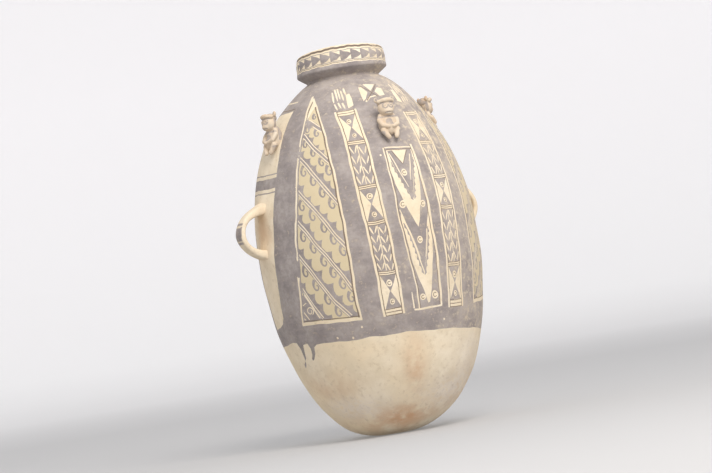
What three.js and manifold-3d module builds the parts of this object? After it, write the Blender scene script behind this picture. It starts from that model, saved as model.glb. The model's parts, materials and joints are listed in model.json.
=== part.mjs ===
// A large painted storage jar of fired earthenware, built by hand from coils of clay.
// The egg-shaped body tapers to a small flattened foot. A short neck is hidden under an upright collar,
// two strap handles stand at the sides, and small seated monkeys are modelled round the shoulder.
// Everything was joined as wet clay and fired together, so it is one solid with one hollow in it.
// Millimetres, +Z up the jar's axis from the flat of the foot, with the painted front facing -Y.

import * as THREE from "three";
import { mergeVertices } from "three/addons/utils/BufferGeometryUtils.js";
import Module from "manifold-3d";

// Body outline: radii, and heights above the foot
const footRadius = 34;
const bellyRadius = 203;
const bellyHeight = 340;
const neckRadius = 64;
const neckHeight = 654;

// How full the curves are, as powers of radius and height, where 2 and 2 give an ellipse
const lowerCurve = { radius: 2.58, height: 1.94 };
const upperCurve = { radius: 1.83, height: 2.2 };

// Thickness of the clay
const wall = 8;
const floorThickness = 12;
const neckWall = 9;

// Collar: a cuff that overhangs the neck
const collarHeight = 46;
const collarOverhang = 19.5;
const collarUnderside = 13;
const collarBulge = 1.6;
const collarWall = 10;
const lipRound = 3.5;

// The rim stands higher at the front than at the back
const rimRise = 8;
const rimRiseAzimuth = -28;

// Strap handles, one at each side
const handleAzimuths = { left: -94, right: 94 };
const handleAboveBelly = 54;
const handleReach = 47;
const handleSpan = 100;
const handleStrap = 9;
const handleGap = 58;
const handleWidth = 31;
const handleEdge = 2.5;
const rootPad = 12;

// Seated monkeys on the shoulder, each with how far its seat is below the neck
const monkeys = [
  { azimuth: -83, drop: 119 },
  { azimuth: -3.5, drop: 130 },
  { azimuth: 88, drop: 118 },
  { azimuth: 180, drop: 124 },
];
const monkeyHeight = 72;
const monkeyLean = 2;

// The coils wander off the axis towards driftAzimuth, by these shares of the most that they wander,
// at these shares of the jar's height
const wander = 5;
const driftAzimuth = 62;
const drift = [
  { share: 0, of: -1 },
  { share: 0.08, of: 0.2 },
  { share: 0.15, of: 0.68 },
  { share: 0.36, of: 0.08 },
  { share: 0.57, of: -0.1 },
  { share: 0.82, of: -0.76 },
  { share: 0.93, of: 0.52 },
  { share: 1, of: 0.76 },
];

// Facets
const outerSides = 52;
const innerSides = 32;
const lowerRings = 13;
const upperRings = 10;
const innerRings = 7;
const archSteps = 10;

// Places that follow from the sizes
const rimHeight = neckHeight + collarHeight;
const collarRadius = neckRadius + collarOverhang;
const handleHeight = bellyHeight + handleAboveBelly;

const wasm = await Module();
wasm.setup();

const degrees = THREE.MathUtils.degToRad;

// A closed three.js geometry, as a solid that can be joined and cut
function solid(geometry) {
  const bare = geometry.clone();
  bare.deleteAttribute("normal");
  bare.deleteAttribute("uv");
  const merged = mergeVertices(bare, 1e-3);
  const mesh = new wasm.Mesh({
    numProp: 3,
    vertProperties: new Float32Array(merged.attributes.position.array),
    triVerts: new Uint32Array(merged.index.array),
  });
  return new wasm.Manifold(mesh);
}

// The solid as a three.js geometry again
function geometryOf(shape) {
  const mesh = shape.getMesh();
  const positions = new Float32Array(mesh.numVert * 3);
  for (let i = 0; i < mesh.numVert; i++) {
    positions.set(mesh.vertProperties.subarray(i * mesh.numProp, i * mesh.numProp + 3), i * 3);
  }
  const geometry = new THREE.BufferGeometry();
  geometry.setAttribute("position", new THREE.BufferAttribute(positions, 3));
  geometry.setIndex(new THREE.BufferAttribute(mesh.triVerts, 1));
  return geometry;
}

// Outward, sideways and up at an azimuth that is measured from the front towards +X
function outward(azimuth) {
  return new THREE.Vector3(Math.sin(degrees(azimuth)), -Math.cos(degrees(azimuth)), 0);
}

function sideways(azimuth) {
  return new THREE.Vector3(-Math.cos(degrees(azimuth)), -Math.sin(degrees(azimuth)), 0);
}

const up = new THREE.Vector3(0, 0, 1);

// The height over which a curve from the widest radius would close on the axis,
// when it reaches endRadius after span
function fullHeight(radius, endRadius, span, curve) {
  return span / (1 - (endRadius / radius) ** curve.radius) ** (1 / curve.height);
}

function curveRadius(radius, full, distance, curve) {
  const share = Math.min(distance / full, 1);
  return radius * (1 - share ** curve.height) ** (1 / curve.radius);
}

// Points of one curve, from the widest radius to endRadius, evenly spread round it
function curvePoints(radius, endRadius, from, to, curve, steps) {
  const span = Math.abs(to - from);
  const full = fullHeight(radius, endRadius, span, curve);
  const last = Math.asin(span / full);
  const points = [];
  for (let i = 0; i <= steps; i++) {
    const distance = full * Math.sin((last * i) / steps);
    const height = from + Math.sign(to - from) * distance;
    points.push(new THREE.Vector2(curveRadius(radius, full, distance, curve), height));
  }
  return points;
}

// The body's outside radius at a height
function bodyRadius(height) {
  if (height < bellyHeight) {
    const full = fullHeight(bellyRadius, footRadius, bellyHeight, lowerCurve);
    return curveRadius(bellyRadius, full, bellyHeight - height, lowerCurve);
  }
  const full = fullHeight(bellyRadius, neckRadius, neckHeight - bellyHeight, upperCurve);
  return curveRadius(bellyRadius, full, height - bellyHeight, upperCurve);
}

// A lathe turns about +Y, so its profile is turned up to +Z
function turned(points, sides) {
  return new THREE.LatheGeometry(points, sides).rotateX(Math.PI / 2);
}

// The outside: foot, body, underside of the collar, collar face and lip
function outerShell() {
  const lower = curvePoints(bellyRadius, footRadius, bellyHeight, 0, lowerCurve, lowerRings).reverse();
  const upper = curvePoints(bellyRadius, neckRadius, bellyHeight, neckHeight, upperCurve, upperRings);
  const face = rimHeight - neckHeight - collarUnderside;
  const collar = [
    new THREE.Vector2(collarRadius, neckHeight + collarUnderside),
    new THREE.Vector2(collarRadius - collarBulge, neckHeight + collarUnderside + face / 4),
    new THREE.Vector2(collarRadius - collarBulge / 2, neckHeight + collarUnderside + face / 2),
    new THREE.Vector2(collarRadius - 2 * collarBulge, rimHeight - lipRound),
    new THREE.Vector2(collarRadius - 2 * collarBulge - lipRound / 2, rimHeight),
    new THREE.Vector2(0, rimHeight),
  ];
  return solid(turned([new THREE.Vector2(0, 0), ...lower, ...upper.slice(1), ...collar], outerSides));
}

// The hollow, open at the mouth
function hollow() {
  const inside = bellyRadius - wall;
  const throat = neckRadius - neckWall;
  const throatHeight = neckHeight - neckWall;
  const mouth = collarRadius - collarWall;
  const lower = curvePoints(inside, 0, bellyHeight, floorThickness, lowerCurve, innerRings).reverse();
  const upper = curvePoints(inside, throat, bellyHeight, throatHeight, upperCurve, innerRings);
  const opening = [
    new THREE.Vector2(throat, neckHeight),
    new THREE.Vector2(mouth - lipRound, neckHeight + collarUnderside),
    new THREE.Vector2(mouth, rimHeight - lipRound),
    new THREE.Vector2(mouth + lipRound, rimHeight + lipRound),
    new THREE.Vector2(0, rimHeight + lipRound),
  ];
  return solid(turned([...lower, ...upper.slice(1), ...opening], innerSides));
}

// An egg of clay
function lump(centre, radii, sides, rings) {
  return new THREE.SphereGeometry(1, sides, rings)
    .rotateX(Math.PI / 2)
    .scale(...radii)
    .translate(...centre);
}

// A roll of clay laid along a curve. A full circle is drawn with two sides for each curve segment
function roll(points, radius, sides, steps) {
  const section = new THREE.Shape();
  section.absarc(0, 0, radius, 0, 2 * Math.PI);
  const path = new THREE.CatmullRomCurve3(points.map((point) => new THREE.Vector3(...point)));
  const settings = { steps, curveSegments: sides / 2, bevelEnabled: false, extrudePath: path };
  return new THREE.ExtrudeGeometry(section, settings);
}

// A strap bent into an arch, whose roots spread over the wall
function handle(azimuth) {
  const atWall = bodyRadius(handleHeight);
  const buried = 2 * wall;
  const arch = new THREE.Shape();
  const outerHeight = handleSpan / 2 - handleEdge;
  const innerHeight = handleGap / 2 + handleEdge;
  const outerReach = handleReach - handleEdge;
  const innerReach = handleReach - handleStrap + handleEdge;
  arch.moveTo(-buried, -outerHeight);
  for (let i = 0; i <= archSteps; i++) {
    const angle = Math.PI * (i / archSteps - 0.5);
    arch.lineTo(outerReach * Math.cos(angle), outerHeight * Math.sin(angle));
  }
  arch.lineTo(-buried, outerHeight);
  arch.lineTo(-buried, innerHeight);
  for (let i = archSteps; i >= 0; i--) {
    const angle = Math.PI * (i / archSteps - 0.5);
    arch.lineTo(innerReach * Math.cos(angle), innerHeight * Math.sin(angle));
  }
  arch.lineTo(-buried, -innerHeight);
  arch.closePath();
  const depth = handleWidth - 2 * handleEdge;
  const settings = { depth, bevelEnabled: true, bevelSegments: 1, bevelSize: handleEdge, bevelThickness: handleEdge };
  const strap = new THREE.ExtrudeGeometry(arch, settings).translate(0, 0, -depth / 2);
  const frame = new THREE.Matrix4().makeBasis(outward(azimuth), up, sideways(azimuth));
  frame.setPosition(outward(azimuth).multiplyScalar(atWall).addScaledVector(up, handleHeight));
  let joined = solid(strap.applyMatrix4(frame));
  for (const end of [-1, 1]) {
    const height = handleHeight + (end * (handleSpan + handleGap)) / 4;
    const pad = lump([0, 0, 0], [handleWidth * 0.62, rootPad, rootPad * 1.25], 8, 5);
    const padFrame = new THREE.Matrix4().makeBasis(sideways(azimuth), outward(azimuth), up);
    padFrame.setPosition(outward(azimuth).multiplyScalar(bodyRadius(height)).addScaledVector(up, height));
    joined = joined.add(solid(pad.applyMatrix4(padFrame)));
  }
  return joined;
}

// A seated monkey in shares of its own height: x sideways, y outward, z up
function monkeyClay() {
  const lumps = [
    // torso
    lump([0, -0.08, 0.33], [0.22, 0.2, 0.33], 8, 5),
    // head
    lump([0, 0.055, 0.72], [0.195, 0.155, 0.25], 10, 6),
    // brow, like the brim of a cap
    lump([0, 0.06, 0.92], [0.22, 0.17, 0.075], 10, 4),
    // muzzle
    lump([0, 0.13, 0.59], [0.13, 0.11, 0.12], 8, 4),
  ];
  for (const side of [-1, 1]) {
    // ear
    lumps.push(lump([side * 0.215, -0.02, 0.93], [0.05, 0.05, 0.055], 5, 4));
    // arm, curved round the chest to the hands
    const arm = [
      [side * 0.17, -0.02, 0.5],
      [side * 0.235, 0.07, 0.38],
      [side * 0.18, 0.13, 0.25],
      [0, 0.14, 0.2],
    ];
    lumps.push(roll(arm, 0.06, 6, 5));
    // leg and foot
    const leg = [
      [side * 0.13, 0, 0.24],
      [side * 0.16, 0.08, 0.14],
      [side * 0.1, 0.08, 0],
    ];
    lumps.push(roll(leg, 0.065, 6, 3));
  }
  return lumps;
}

function monkey({ azimuth, drop }) {
  const height = neckHeight - drop;
  const lean = degrees(monkeyLean);
  const spine = up.clone().multiplyScalar(Math.cos(lean)).addScaledVector(outward(azimuth), -Math.sin(lean));
  const chest = outward(azimuth).multiplyScalar(Math.cos(lean)).addScaledVector(up, Math.sin(lean));
  const frame = new THREE.Matrix4().makeBasis(sideways(azimuth), chest, spine);
  frame.scale(new THREE.Vector3(monkeyHeight, monkeyHeight, monkeyHeight));
  const seat = outward(azimuth).multiplyScalar(bodyRadius(height));
  frame.setPosition(seat.addScaledVector(up, height));
  return monkeyClay()
    .map((clay) => solid(clay.applyMatrix4(frame)))
    .reduce((whole, piece) => whole.add(piece));
}

// The wander of the coils at a height, eased from each place in the drift table to the next
function driftAt(height) {
  const share = Math.min(height / rimHeight, 1);
  const next = Math.max(1, drift.findIndex((at) => at.share >= share));
  const eased = THREE.MathUtils.smoothstep(share, drift[next - 1].share, drift[next].share);
  return wander * THREE.MathUtils.lerp(drift[next - 1].of, drift[next].of, eased);
}

// Sets the true form a little out of true, as the potter left it
function handBuilt(geometry) {
  const position = geometry.attributes.position;
  const aside = outward(driftAzimuth);
  for (let i = 0; i < position.count; i++) {
    const point = new THREE.Vector3().fromBufferAttribute(position, i);
    const facing = point.dot(outward(rimRiseAzimuth)) / Math.max(Math.hypot(point.x, point.y), 1);
    const share = (point.z - neckHeight - collarUnderside) / (collarHeight - collarUnderside);
    point.addScaledVector(aside, driftAt(point.z));
    point.z += rimRise * Math.max(share, 0) * ((1 + facing) / 2) ** 2;
    position.setXYZ(i, point.x, point.y, point.z);
  }
  return geometry;
}

function jar() {
  let clay = outerShell();
  for (const azimuth of Object.values(handleAzimuths)) {
    clay = clay.add(handle(azimuth));
  }
  for (const seated of monkeys) {
    clay = clay.add(monkey(seated));
  }
  return handBuilt(geometryOf(clay.subtract(hollow())));
}

// Fired earthenware under a chalky cream slip
const slip = new THREE.MeshStandardMaterial({ color: 0xc9b79c, roughness: 0.9, metalness: 0 });

const amphora = new THREE.Mesh(jar(), slip);
amphora.name = "amphora";

const model = new THREE.Group();
model.add(amphora);

export default model;
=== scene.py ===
# %% [markdown]
# # A painted pottery storage jar
# The real jar is low-fired earthenware, built by hand from coils, scraped smooth, coated with a cream
# slip and painted in dark mineral paint. It is an old piece, so the paint is thin, rubbed and stained.
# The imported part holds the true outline. This script gives it its painted skin, its softer handles and
# monkeys, its finish, and a plain studio to stand in.

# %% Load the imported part
import json
import math
from functools import partial

import bmesh
import bpy
import numpy as np
from mathutils import Matrix, Vector
from mathutils.geometry import delaunay_2d_cdt

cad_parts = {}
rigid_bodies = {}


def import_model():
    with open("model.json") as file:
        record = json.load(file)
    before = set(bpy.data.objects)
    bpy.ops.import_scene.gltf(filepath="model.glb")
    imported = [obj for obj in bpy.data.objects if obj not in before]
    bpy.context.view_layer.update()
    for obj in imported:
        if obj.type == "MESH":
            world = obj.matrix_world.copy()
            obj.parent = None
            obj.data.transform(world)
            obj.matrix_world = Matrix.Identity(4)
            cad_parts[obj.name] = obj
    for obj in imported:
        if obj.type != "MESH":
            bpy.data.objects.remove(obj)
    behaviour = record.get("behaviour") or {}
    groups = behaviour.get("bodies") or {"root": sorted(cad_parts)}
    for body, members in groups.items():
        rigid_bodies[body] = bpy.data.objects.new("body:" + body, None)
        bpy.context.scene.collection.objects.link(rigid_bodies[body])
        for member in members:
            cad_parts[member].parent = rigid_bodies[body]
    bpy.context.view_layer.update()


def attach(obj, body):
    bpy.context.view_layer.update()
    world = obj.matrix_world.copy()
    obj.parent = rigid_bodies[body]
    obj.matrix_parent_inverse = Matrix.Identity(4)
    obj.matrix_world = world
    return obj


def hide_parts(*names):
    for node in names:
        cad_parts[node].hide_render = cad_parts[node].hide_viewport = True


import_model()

scene = bpy.context.scene
MM = 0.001

# %% [markdown]
# ## Small tools
# Colours are picked as sRGB hex, as a paint chart gives them, but Blender's nodes count in linear
# light, so one function converts them. Another adds a node with its settings and links, so that a node
# tree reads as a list. The last ones add a maths node, put an object in the scene, and ease a value from
# 0 to 1 between two limits.

# %% Colour, node and object tools
def linear(hex_colour):
    channels = [int(hex_colour[i : i + 2], 16) / 255 for i in (1, 3, 5)]
    return tuple(c / 12.92 if c <= 0.04045 else ((c + 0.055) / 1.055) ** 2.4 for c in channels) + (1.0,)


def add_node(tree, kind, inputs=None, **settings):
    node = tree.nodes.new(kind)
    for name, value in settings.items():
        setattr(node, name, value)
    for key, value in (inputs or {}).items():
        if isinstance(value, bpy.types.NodeSocket):
            tree.links.new(value, node.inputs[key])
        else:
            node.inputs[key].default_value = value
    return node


def maths(tree, operation, *values, clamp=False):
    inputs = dict(enumerate(values))
    return add_node(tree, "ShaderNodeMath", inputs, operation=operation, use_clamp=clamp).outputs[0]


def put(name, data):
    placed = bpy.data.objects.new(name, data)
    scene.collection.objects.link(placed)
    return placed


def ease(low, high, value):
    share = np.clip((np.asarray(value, float) - low) / (high - low), 0, 1)
    return share * share * (3 - 2 * share)


# %% [markdown]
# ## Camera
# The jar was photographed from far off with a long lens, a little below its middle, and the picture
# leans by nine degrees. The camera stands where a fit to both edges of the jar put it, and is rolled by
# that lean, so the jar itself can stand upright on its foot.

# %% Camera
def outward(azimuth):
    turn = math.radians(azimuth)
    return Vector((math.sin(turn), -math.cos(turn), 0))


def place_camera(azimuth, elevation, roll, distance, lens, aim_height, aim_aside):
    rise = math.radians(elevation)
    backward = outward(azimuth) * math.cos(rise) + Vector((0, 0, math.sin(rise)))
    level = Vector((math.cos(math.radians(azimuth)), math.sin(math.radians(azimuth)), 0))
    upright = backward.cross(level)
    turn = math.radians(roll)
    right = level * math.cos(turn) - upright * math.sin(turn)
    up = level * math.sin(turn) + upright * math.cos(turn)
    data = bpy.data.cameras.new("photo_camera")
    data.lens = lens
    data.sensor_width = 36
    camera = put("photo_camera", data)
    camera.matrix_world = Matrix((right, up, backward)).transposed().to_4x4()
    camera.location = Vector((0, 0, aim_height)) + level * aim_aside + backward * distance
    scene.camera = camera
    return camera


camera = place_camera(
    azimuth=-28, elevation=-2.5, roll=9.155, distance=4.03, lens=111.24,
    aim_height=0.365, aim_aside=-0.0194,
)
print("camera at", [round(c, 3) for c in camera.location])

# %% [markdown]
# ## Studio
# A pale sweep: a floor that curves up into a wall a long way off, so that no edge shows behind the jar
# and the floor throws soft light up under the belly. It is turned on a wheel like a very wide bowl.

# %% Floor that curves up into a wall
def studio_bowl(floor_radius, bend, height, sides, steps=12):
    profile = [(0, 0), (floor_radius * 0.25, 0), (floor_radius * 0.6, 0), (floor_radius, 0)]
    for step in range(1, steps + 1):
        turn = math.radians(90 * step / steps)
        profile.append((floor_radius + bend * math.sin(turn), bend * (1 - math.cos(turn))))
    profile.append((floor_radius + bend, height))
    bowl = bmesh.new()
    for radius, z in profile:
        for side in range(sides):
            turn = 2 * math.pi * side / sides
            bowl.verts.new((radius * math.cos(turn), radius * math.sin(turn), z))
    bowl.verts.ensure_lookup_table()
    for ring in range(len(profile) - 1):
        for side in range(sides):
            after = (side + 1) % sides
            low, high = ring * sides, (ring + 1) * sides
            corners = (low + side, high + side, high + after, low + after)
            bowl.faces.new([bowl.verts[i] for i in corners])
    bmesh.ops.remove_doubles(bowl, verts=bowl.verts, dist=1e-5)
    bmesh.ops.recalc_face_normals(bowl, faces=bowl.faces)
    mesh = bpy.data.meshes.new("studio_floor")
    bowl.to_mesh(mesh)
    bowl.free()
    mesh.shade_smooth()
    return put("studio_floor", mesh)


floor = studio_bowl(floor_radius=5.5, bend=3, height=7, sides=96)

# %% Paper that grows paler with the distance
# The paper is darker near the middle, where the key light falls most, and paler far off: painted shade
# that sets how bright the sweep looks.
PAPER_REACH = 10.0
PAPER_TONES = (
    (0, "#a2a1a1"), (0.3, "#aaa9a9"), (0.55, "#c2c1c1"), (0.66, "#e9e8e8"), (0.83, "#f6f4f5"),
)
paper = bpy.data.materials.new("matt_paper_sweep")
paper.use_nodes = True
shades = paper.node_tree
place = add_node(shades, "ShaderNodeTexCoord").outputs["Object"]
away = add_node(shades, "ShaderNodeVectorMath", {0: place}, operation="LENGTH").outputs["Value"]
share = add_node(shades, "ShaderNodeMapRange", {"Value": away, "From Max": PAPER_REACH})
tones = add_node(shades, "ShaderNodeValToRGB", {"Fac": share.outputs["Result"]})
stops = tones.color_ramp.elements
for position, shade in PAPER_TONES:
    stop = stops[0] if position == 0 else stops.new(position)
    stop.position = position
    stop.color = linear(shade)
stops.remove(stops[-1])
surface = shades.nodes["Principled BSDF"].inputs
shades.links.new(tones.outputs["Color"], surface["Base Color"])
surface["Roughness"].default_value = 0.95
# a faint glow all over the paper, which is painted light
surface["Emission Color"].default_value = linear("#ffffff")
surface["Emission Strength"].default_value = 0.15
floor.data.materials.append(paper)

# %% [markdown]
# ## Light
# One broad soft light stands high and a little to the right of the camera, a weak one stands low and
# far to the right, and a pale sky fills the rest.

# %% Lights
def soft_light(name, azimuth, elevation, distance, size, watts, colour):
    data = bpy.data.lights.new(name, "AREA")
    data.shape = "DISK"
    data.size = size
    data.energy = watts
    data.color = linear(colour)[:3]
    light = put(name, data)
    rise = math.radians(elevation)
    aim = Vector((0, 0, 0.35))
    direction = outward(azimuth) * math.cos(rise) + Vector((0, 0, math.sin(rise)))
    light.location = aim + direction * distance
    light.rotation_euler = direction.to_track_quat("Z", "Y").to_euler()
    return light


soft_light("key_light", azimuth=-9, elevation=42, distance=3.4, size=1.7, watts=93, colour="#fffbf6")
soft_light("fill_light", azimuth=60, elevation=14, distance=3.8, size=2.4, watts=8, colour="#f7f8ff")
sky = bpy.data.worlds.new("pale_sky")
sky.use_nodes = True
sky.node_tree.nodes["Background"].inputs["Color"].default_value = linear("#f5f6f8")
sky.node_tree.nodes["Background"].inputs["Strength"].default_value = 0.8
scene.world = sky
scene.view_settings.view_transform = "Standard"

# %% [markdown]
# ## The jar's form
# The same sizes as in the part's source, in millimetres. The outside is one line, from the middle of
# the foot over the belly, under and up the collar, over the lip and down the inside to the floor of the
# hollow. A point of the skin is an azimuth, in degrees from the front towards +X, and a distance along
# that line.

# %% Sizes of the jar
FOOT, BELLY, NECK = 34, 203, 64
BELLY_HEIGHT, NECK_HEIGHT, RIM_HEIGHT = 340, 654, 700
LOWER_POWERS, UPPER_POWERS = (2.58, 1.94), (1.83, 2.2)
WALL, FLOOR_THICKNESS, NECK_WALL = 8, 12, 9
COLLAR_EDGE, JOINT_HEIGHT = 667, 647
WANDER, DRIFT_AZIMUTH = 5, 62
DRIFT = [
    (0, -1), (0.08, 0.2), (0.15, 0.68), (0.36, 0.08), (0.57, -0.1), (0.82, -0.76), (0.93, 0.52),
    (1, 0.76),
]
RIM_RISE, RIM_RISE_AZIMUTH = 8, -28


def oval(widest, end, span, powers, distance):
    full = span / (1 - (end / widest) ** powers[0]) ** (1 / powers[1])
    share = np.clip(np.asarray(distance, float) / full, 0, 1)
    return widest * (1 - share ** powers[1]) ** (1 / powers[0])


def body_radius(height):
    height = np.asarray(height, float)
    lower = oval(BELLY, FOOT, BELLY_HEIGHT, LOWER_POWERS, BELLY_HEIGHT - height)
    upper = oval(BELLY, NECK, NECK_HEIGHT - BELLY_HEIGHT, UPPER_POWERS, height - BELLY_HEIGHT)
    return np.where(height < BELLY_HEIGHT, lower, upper)


def drift_at(height):
    share = np.clip(np.asarray(height, float) / RIM_HEIGHT, 0, 1)
    result = np.zeros_like(share)
    for (low, low_of), (high, high_of) in zip(DRIFT, DRIFT[1:]):
        inside = (share >= low) & (share <= high)
        result = np.where(inside, low_of + (high_of - low_of) * ease(low, high, share), result)
    return WANDER * result


def hand_built(points):
    """The true form, set a little out of true as the potter left it. Points are in millimetres."""
    aside = outward(DRIFT_AZIMUTH)
    rise_way = outward(RIM_RISE_AZIMUTH)
    reach = np.maximum(np.hypot(points[:, 0], points[:, 1]), 1)
    facing = (points[:, 0] * rise_way.x + points[:, 1] * rise_way.y) / reach
    share = (points[:, 2] - COLLAR_EDGE) / (RIM_HEIGHT - COLLAR_EDGE)
    drift = drift_at(points[:, 2])
    moved = points.copy()
    moved[:, 0] += drift * aside.x
    moved[:, 1] += drift * aside.y
    moved[:, 2] += RIM_RISE * np.maximum(share, 0) * ((1 + facing) / 2) ** 2
    return moved


# %% The line of the skin
# the line leaves the flat of the foot at this one of its points
WALL_START = 2


def softened(corners, steps=5):
    """A line through corners (radius, height, softness), each one eased over its softness."""
    line = [corners[0][:2]]
    for before, here, after in zip(corners, corners[1:], corners[2:]):
        middle = np.array(here[:2], float)
        ways = [np.array(other[:2]) - middle for other in (before, after)]
        start, end = (middle + way * min(0.49, here[2] / math.hypot(*way)) for way in ways)
        for step in range(steps + 1):
            t = step / steps
            line.append(tuple((1 - t) ** 2 * start + 2 * t * (1 - t) * middle + t * t * end))
    line.append(corners[-1][:2])
    return line


def oval_line(widest, end, from_height, to_height, powers, steps=160):
    span = abs(to_height - from_height)
    full = span / (1 - (end / widest) ** powers[0]) ** (1 / powers[1])
    turns = np.linspace(0, math.asin(span / full), steps)
    heights = from_height + math.copysign(1, to_height - from_height) * full * np.sin(turns)
    radii = oval(widest, end, span, powers, np.abs(heights - from_height))
    return list(zip(radii, heights))


outside = [(0, 0), (FOOT - 1.5, 0)] + oval_line(BELLY, FOOT, BELLY_HEIGHT, 0, LOWER_POWERS)[::-1][1:]
shoulder = oval_line(BELLY, NECK, BELLY_HEIGHT, NECK_HEIGHT, UPPER_POWERS)[1:]
outside += [p for p in shoulder if p[1] < JOINT_HEIGHT]
neck_end = outside[-1]
collar = softened(
    [
        # radius, height and softness
        (*neck_end, 0),
        (64.4, 653.4, 4),
        (83.5, COLLAR_EDGE, 2.4),
        (81.9, 675.2, 3.5),
        (82.7, 683.5, 4),
        (80.3, 696.5, 2),
        (78.5, 700, 1.8),
        (75.3, 700, 1.7),
        (73.5, 696.5, 2.5),
        (70, COLLAR_EDGE, 6),
        (55, 654, 4),
        (55, 645, 3),
    ]
)
inner_belly, inner_neck = BELLY - WALL, NECK - NECK_WALL
inner_top = oval_line(inner_belly, inner_neck, BELLY_HEIGHT, NECK_HEIGHT - NECK_WALL, UPPER_POWERS)
inner_low = oval_line(inner_belly, 0, BELLY_HEIGHT, FLOOR_THICKNESS, LOWER_POWERS)
skin_line = np.array(outside + collar[1:-1] + inner_top[::-1] + inner_low[1:], float)
skin_steps = np.hypot(*np.diff(skin_line, axis=0).T)
skin_line = skin_line[np.r_[True, skin_steps > 1e-6]]
skin_reach = np.r_[0, np.cumsum(np.hypot(*np.diff(skin_line, axis=0).T))]
body_end = int(np.argmin(np.hypot(skin_line[:, 0] - neck_end[0], skin_line[:, 1] - neck_end[1])))
lip_top = int(np.argmax(skin_line[:, 1] - np.abs(skin_line[:, 0] - 77) * 0.01))
face_start = body_end + int(np.argmax(skin_line[body_end:lip_top, 0]))
print("skin line of", len(skin_line), "points, lip at", round(skin_reach[lip_top]), "mm")


def reach_of_height(height):
    """How far along the skin line a height on the body lies."""
    wall = slice(WALL_START, body_end + 1)
    return np.interp(height, skin_line[wall, 1], skin_reach[wall])


def reach_of_collar(share):
    """The same for a place on the collar's face, from 0 at its lower edge to 1 at the lip."""
    return skin_reach[face_start] + share * (skin_reach[lip_top] - skin_reach[face_start])


# %% [markdown]
# ### Hand work in the surface
# A coil-built wall is never quite even: it swells and dips by a millimetre where the coils lay and
# where the scraper passed, and the clay is thicker round the roots of the handles and under the
# monkeys. These small swellings are in the mesh, and are kept at or under the part's surface except at
# the roots.

# %% Swellings of the wall
HANDLE_AZIMUTHS = (-94, 94)
HANDLE_HEIGHT, HANDLE_SPAN, HANDLE_GAP = 394, 100, 58
# each monkey's azimuth in degrees, and the height of its seat
MONKEYS = ((-83, 535), (-3.5, 524), (88, 536), (180, 530))
MONKEY_HEIGHT, MODELLED_HEIGHT, MONKEY_LEAN = 72, 78, 2
# how far the wall swells at a handle's root and under a monkey, and how wide
ROOT_SWELL, ROOT_SPREAD = 6.5, 19
SEAT_SWELL, SEAT_SPREAD = 3.2, 17


def swelling(azimuth, height, radius):
    turn = np.radians(azimuth)
    dips = 0.45 * np.sin(3 * turn + height / 61) + 0.3 * np.sin(7 * turn - height / 37 + 1.3)
    dips += 0.22 * np.sin(13 * turn + height / 19 + 4)
    dips += 0.3 * np.sin(height / 15.5 + 1.2 * np.sin(2 * turn))
    result = (dips - 1.1) * ease(0, 40, height) * ease(653, 600, height)
    for root_azimuth in HANDLE_AZIMUTHS:
        for side in (-1, 1):
            root = HANDLE_HEIGHT + side * (HANDLE_SPAN + HANDLE_GAP) / 4
            away = np.hypot((azimuth - root_azimuth) * np.pi / 180 * radius / 1.5, height - root)
            result = result + ROOT_SWELL * np.exp(-((away / ROOT_SPREAD) ** 2))
    for seat_azimuth, seat in MONKEYS:
        turn_away = (azimuth - seat_azimuth + 180) % 360 - 180
        away = np.hypot(turn_away * np.pi / 180 * radius, (height - seat - 14) / 1.5)
        result = result + SEAT_SWELL * np.exp(-((away / SEAT_SPREAD) ** 2))
    return result


def skin_point(azimuth, reach):
    """Places on the skin in millimetres, for azimuths in degrees and reaches along the skin line."""
    radius = np.interp(reach, skin_reach, skin_line[:, 0])
    height = np.interp(reach, skin_reach, skin_line[:, 1])
    outer = (reach < skin_reach[body_end]).astype(float)
    radius = radius + outer * swelling(azimuth, height, radius)
    turn = np.radians(azimuth)
    return hand_built(np.stack([radius * np.sin(turn), -radius * np.cos(turn), height], -1))


def unit_rows(vectors):
    return vectors / np.maximum(np.linalg.norm(vectors, axis=1, keepdims=True), 1e-9)


def skin_normal(azimuth, reach, step=0.35):
    """The way the skin faces, from two short steps across it."""
    degrees = np.degrees(step / np.maximum(np.interp(reach, skin_reach, skin_line[:, 0]), 4))
    across = skin_point(azimuth + degrees, reach) - skin_point(azimuth - degrees, reach)
    along = skin_point(azimuth, np.minimum(reach + step, skin_reach[-1]))
    along = along - skin_point(azimuth, np.maximum(reach - step, 0))
    return unit_rows(np.cross(across, along))


# %% [markdown]
# ## The painting
# The painter laid dark paint over cream slip, and left the figures in reserve. Here each figure is an
# outline on a flat sheet, as if the skin were unrolled: one axis runs round the belly and the other up
# the skin line, both in millimetres. Brush lines have a width that swells and thins, and every outline
# wavers a little, as a hand does. The outlines become edges of the mesh, so the painting stays crisp at
# any distance without an image.

# %% The sheet and the brush
BELLY_DEGREE = BELLY * math.pi / 180
SLIP, DARK, LINE, OCHRE = "slip", "dark", "line", "ochre"
MIDDLE = -1.5
painting = []


def on_body(points, mirrored=False):
    points = np.array(points, float)
    azimuth = 2 * MIDDLE - points[:, 0] if mirrored else points[:, 0]
    return np.stack([azimuth * BELLY_DEGREE, reach_of_height(points[:, 1])], -1)


def on_collar(points, mirrored=False):
    points = np.array(points, float)
    return np.stack([points[:, 0] * BELLY_DEGREE, reach_of_collar(points[:, 1])], -1)


def on_joint(points, mirrored=False):
    """Shares 0 to 1, from the top of the shoulder to the middle of the collar's underside."""
    points = np.array(points, float)
    low, high = float(reach_of_height(646)), float(reach_of_collar(-0.4))
    return np.stack([points[:, 0] * BELLY_DEGREE, low + (high - low) * points[:, 1]], -1)


def true_share(sheet):
    """How much narrower the jar is at a place on the sheet than at its belly."""
    return np.interp(sheet[:, 1], skin_reach, skin_line[:, 0]) / BELLY


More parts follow.
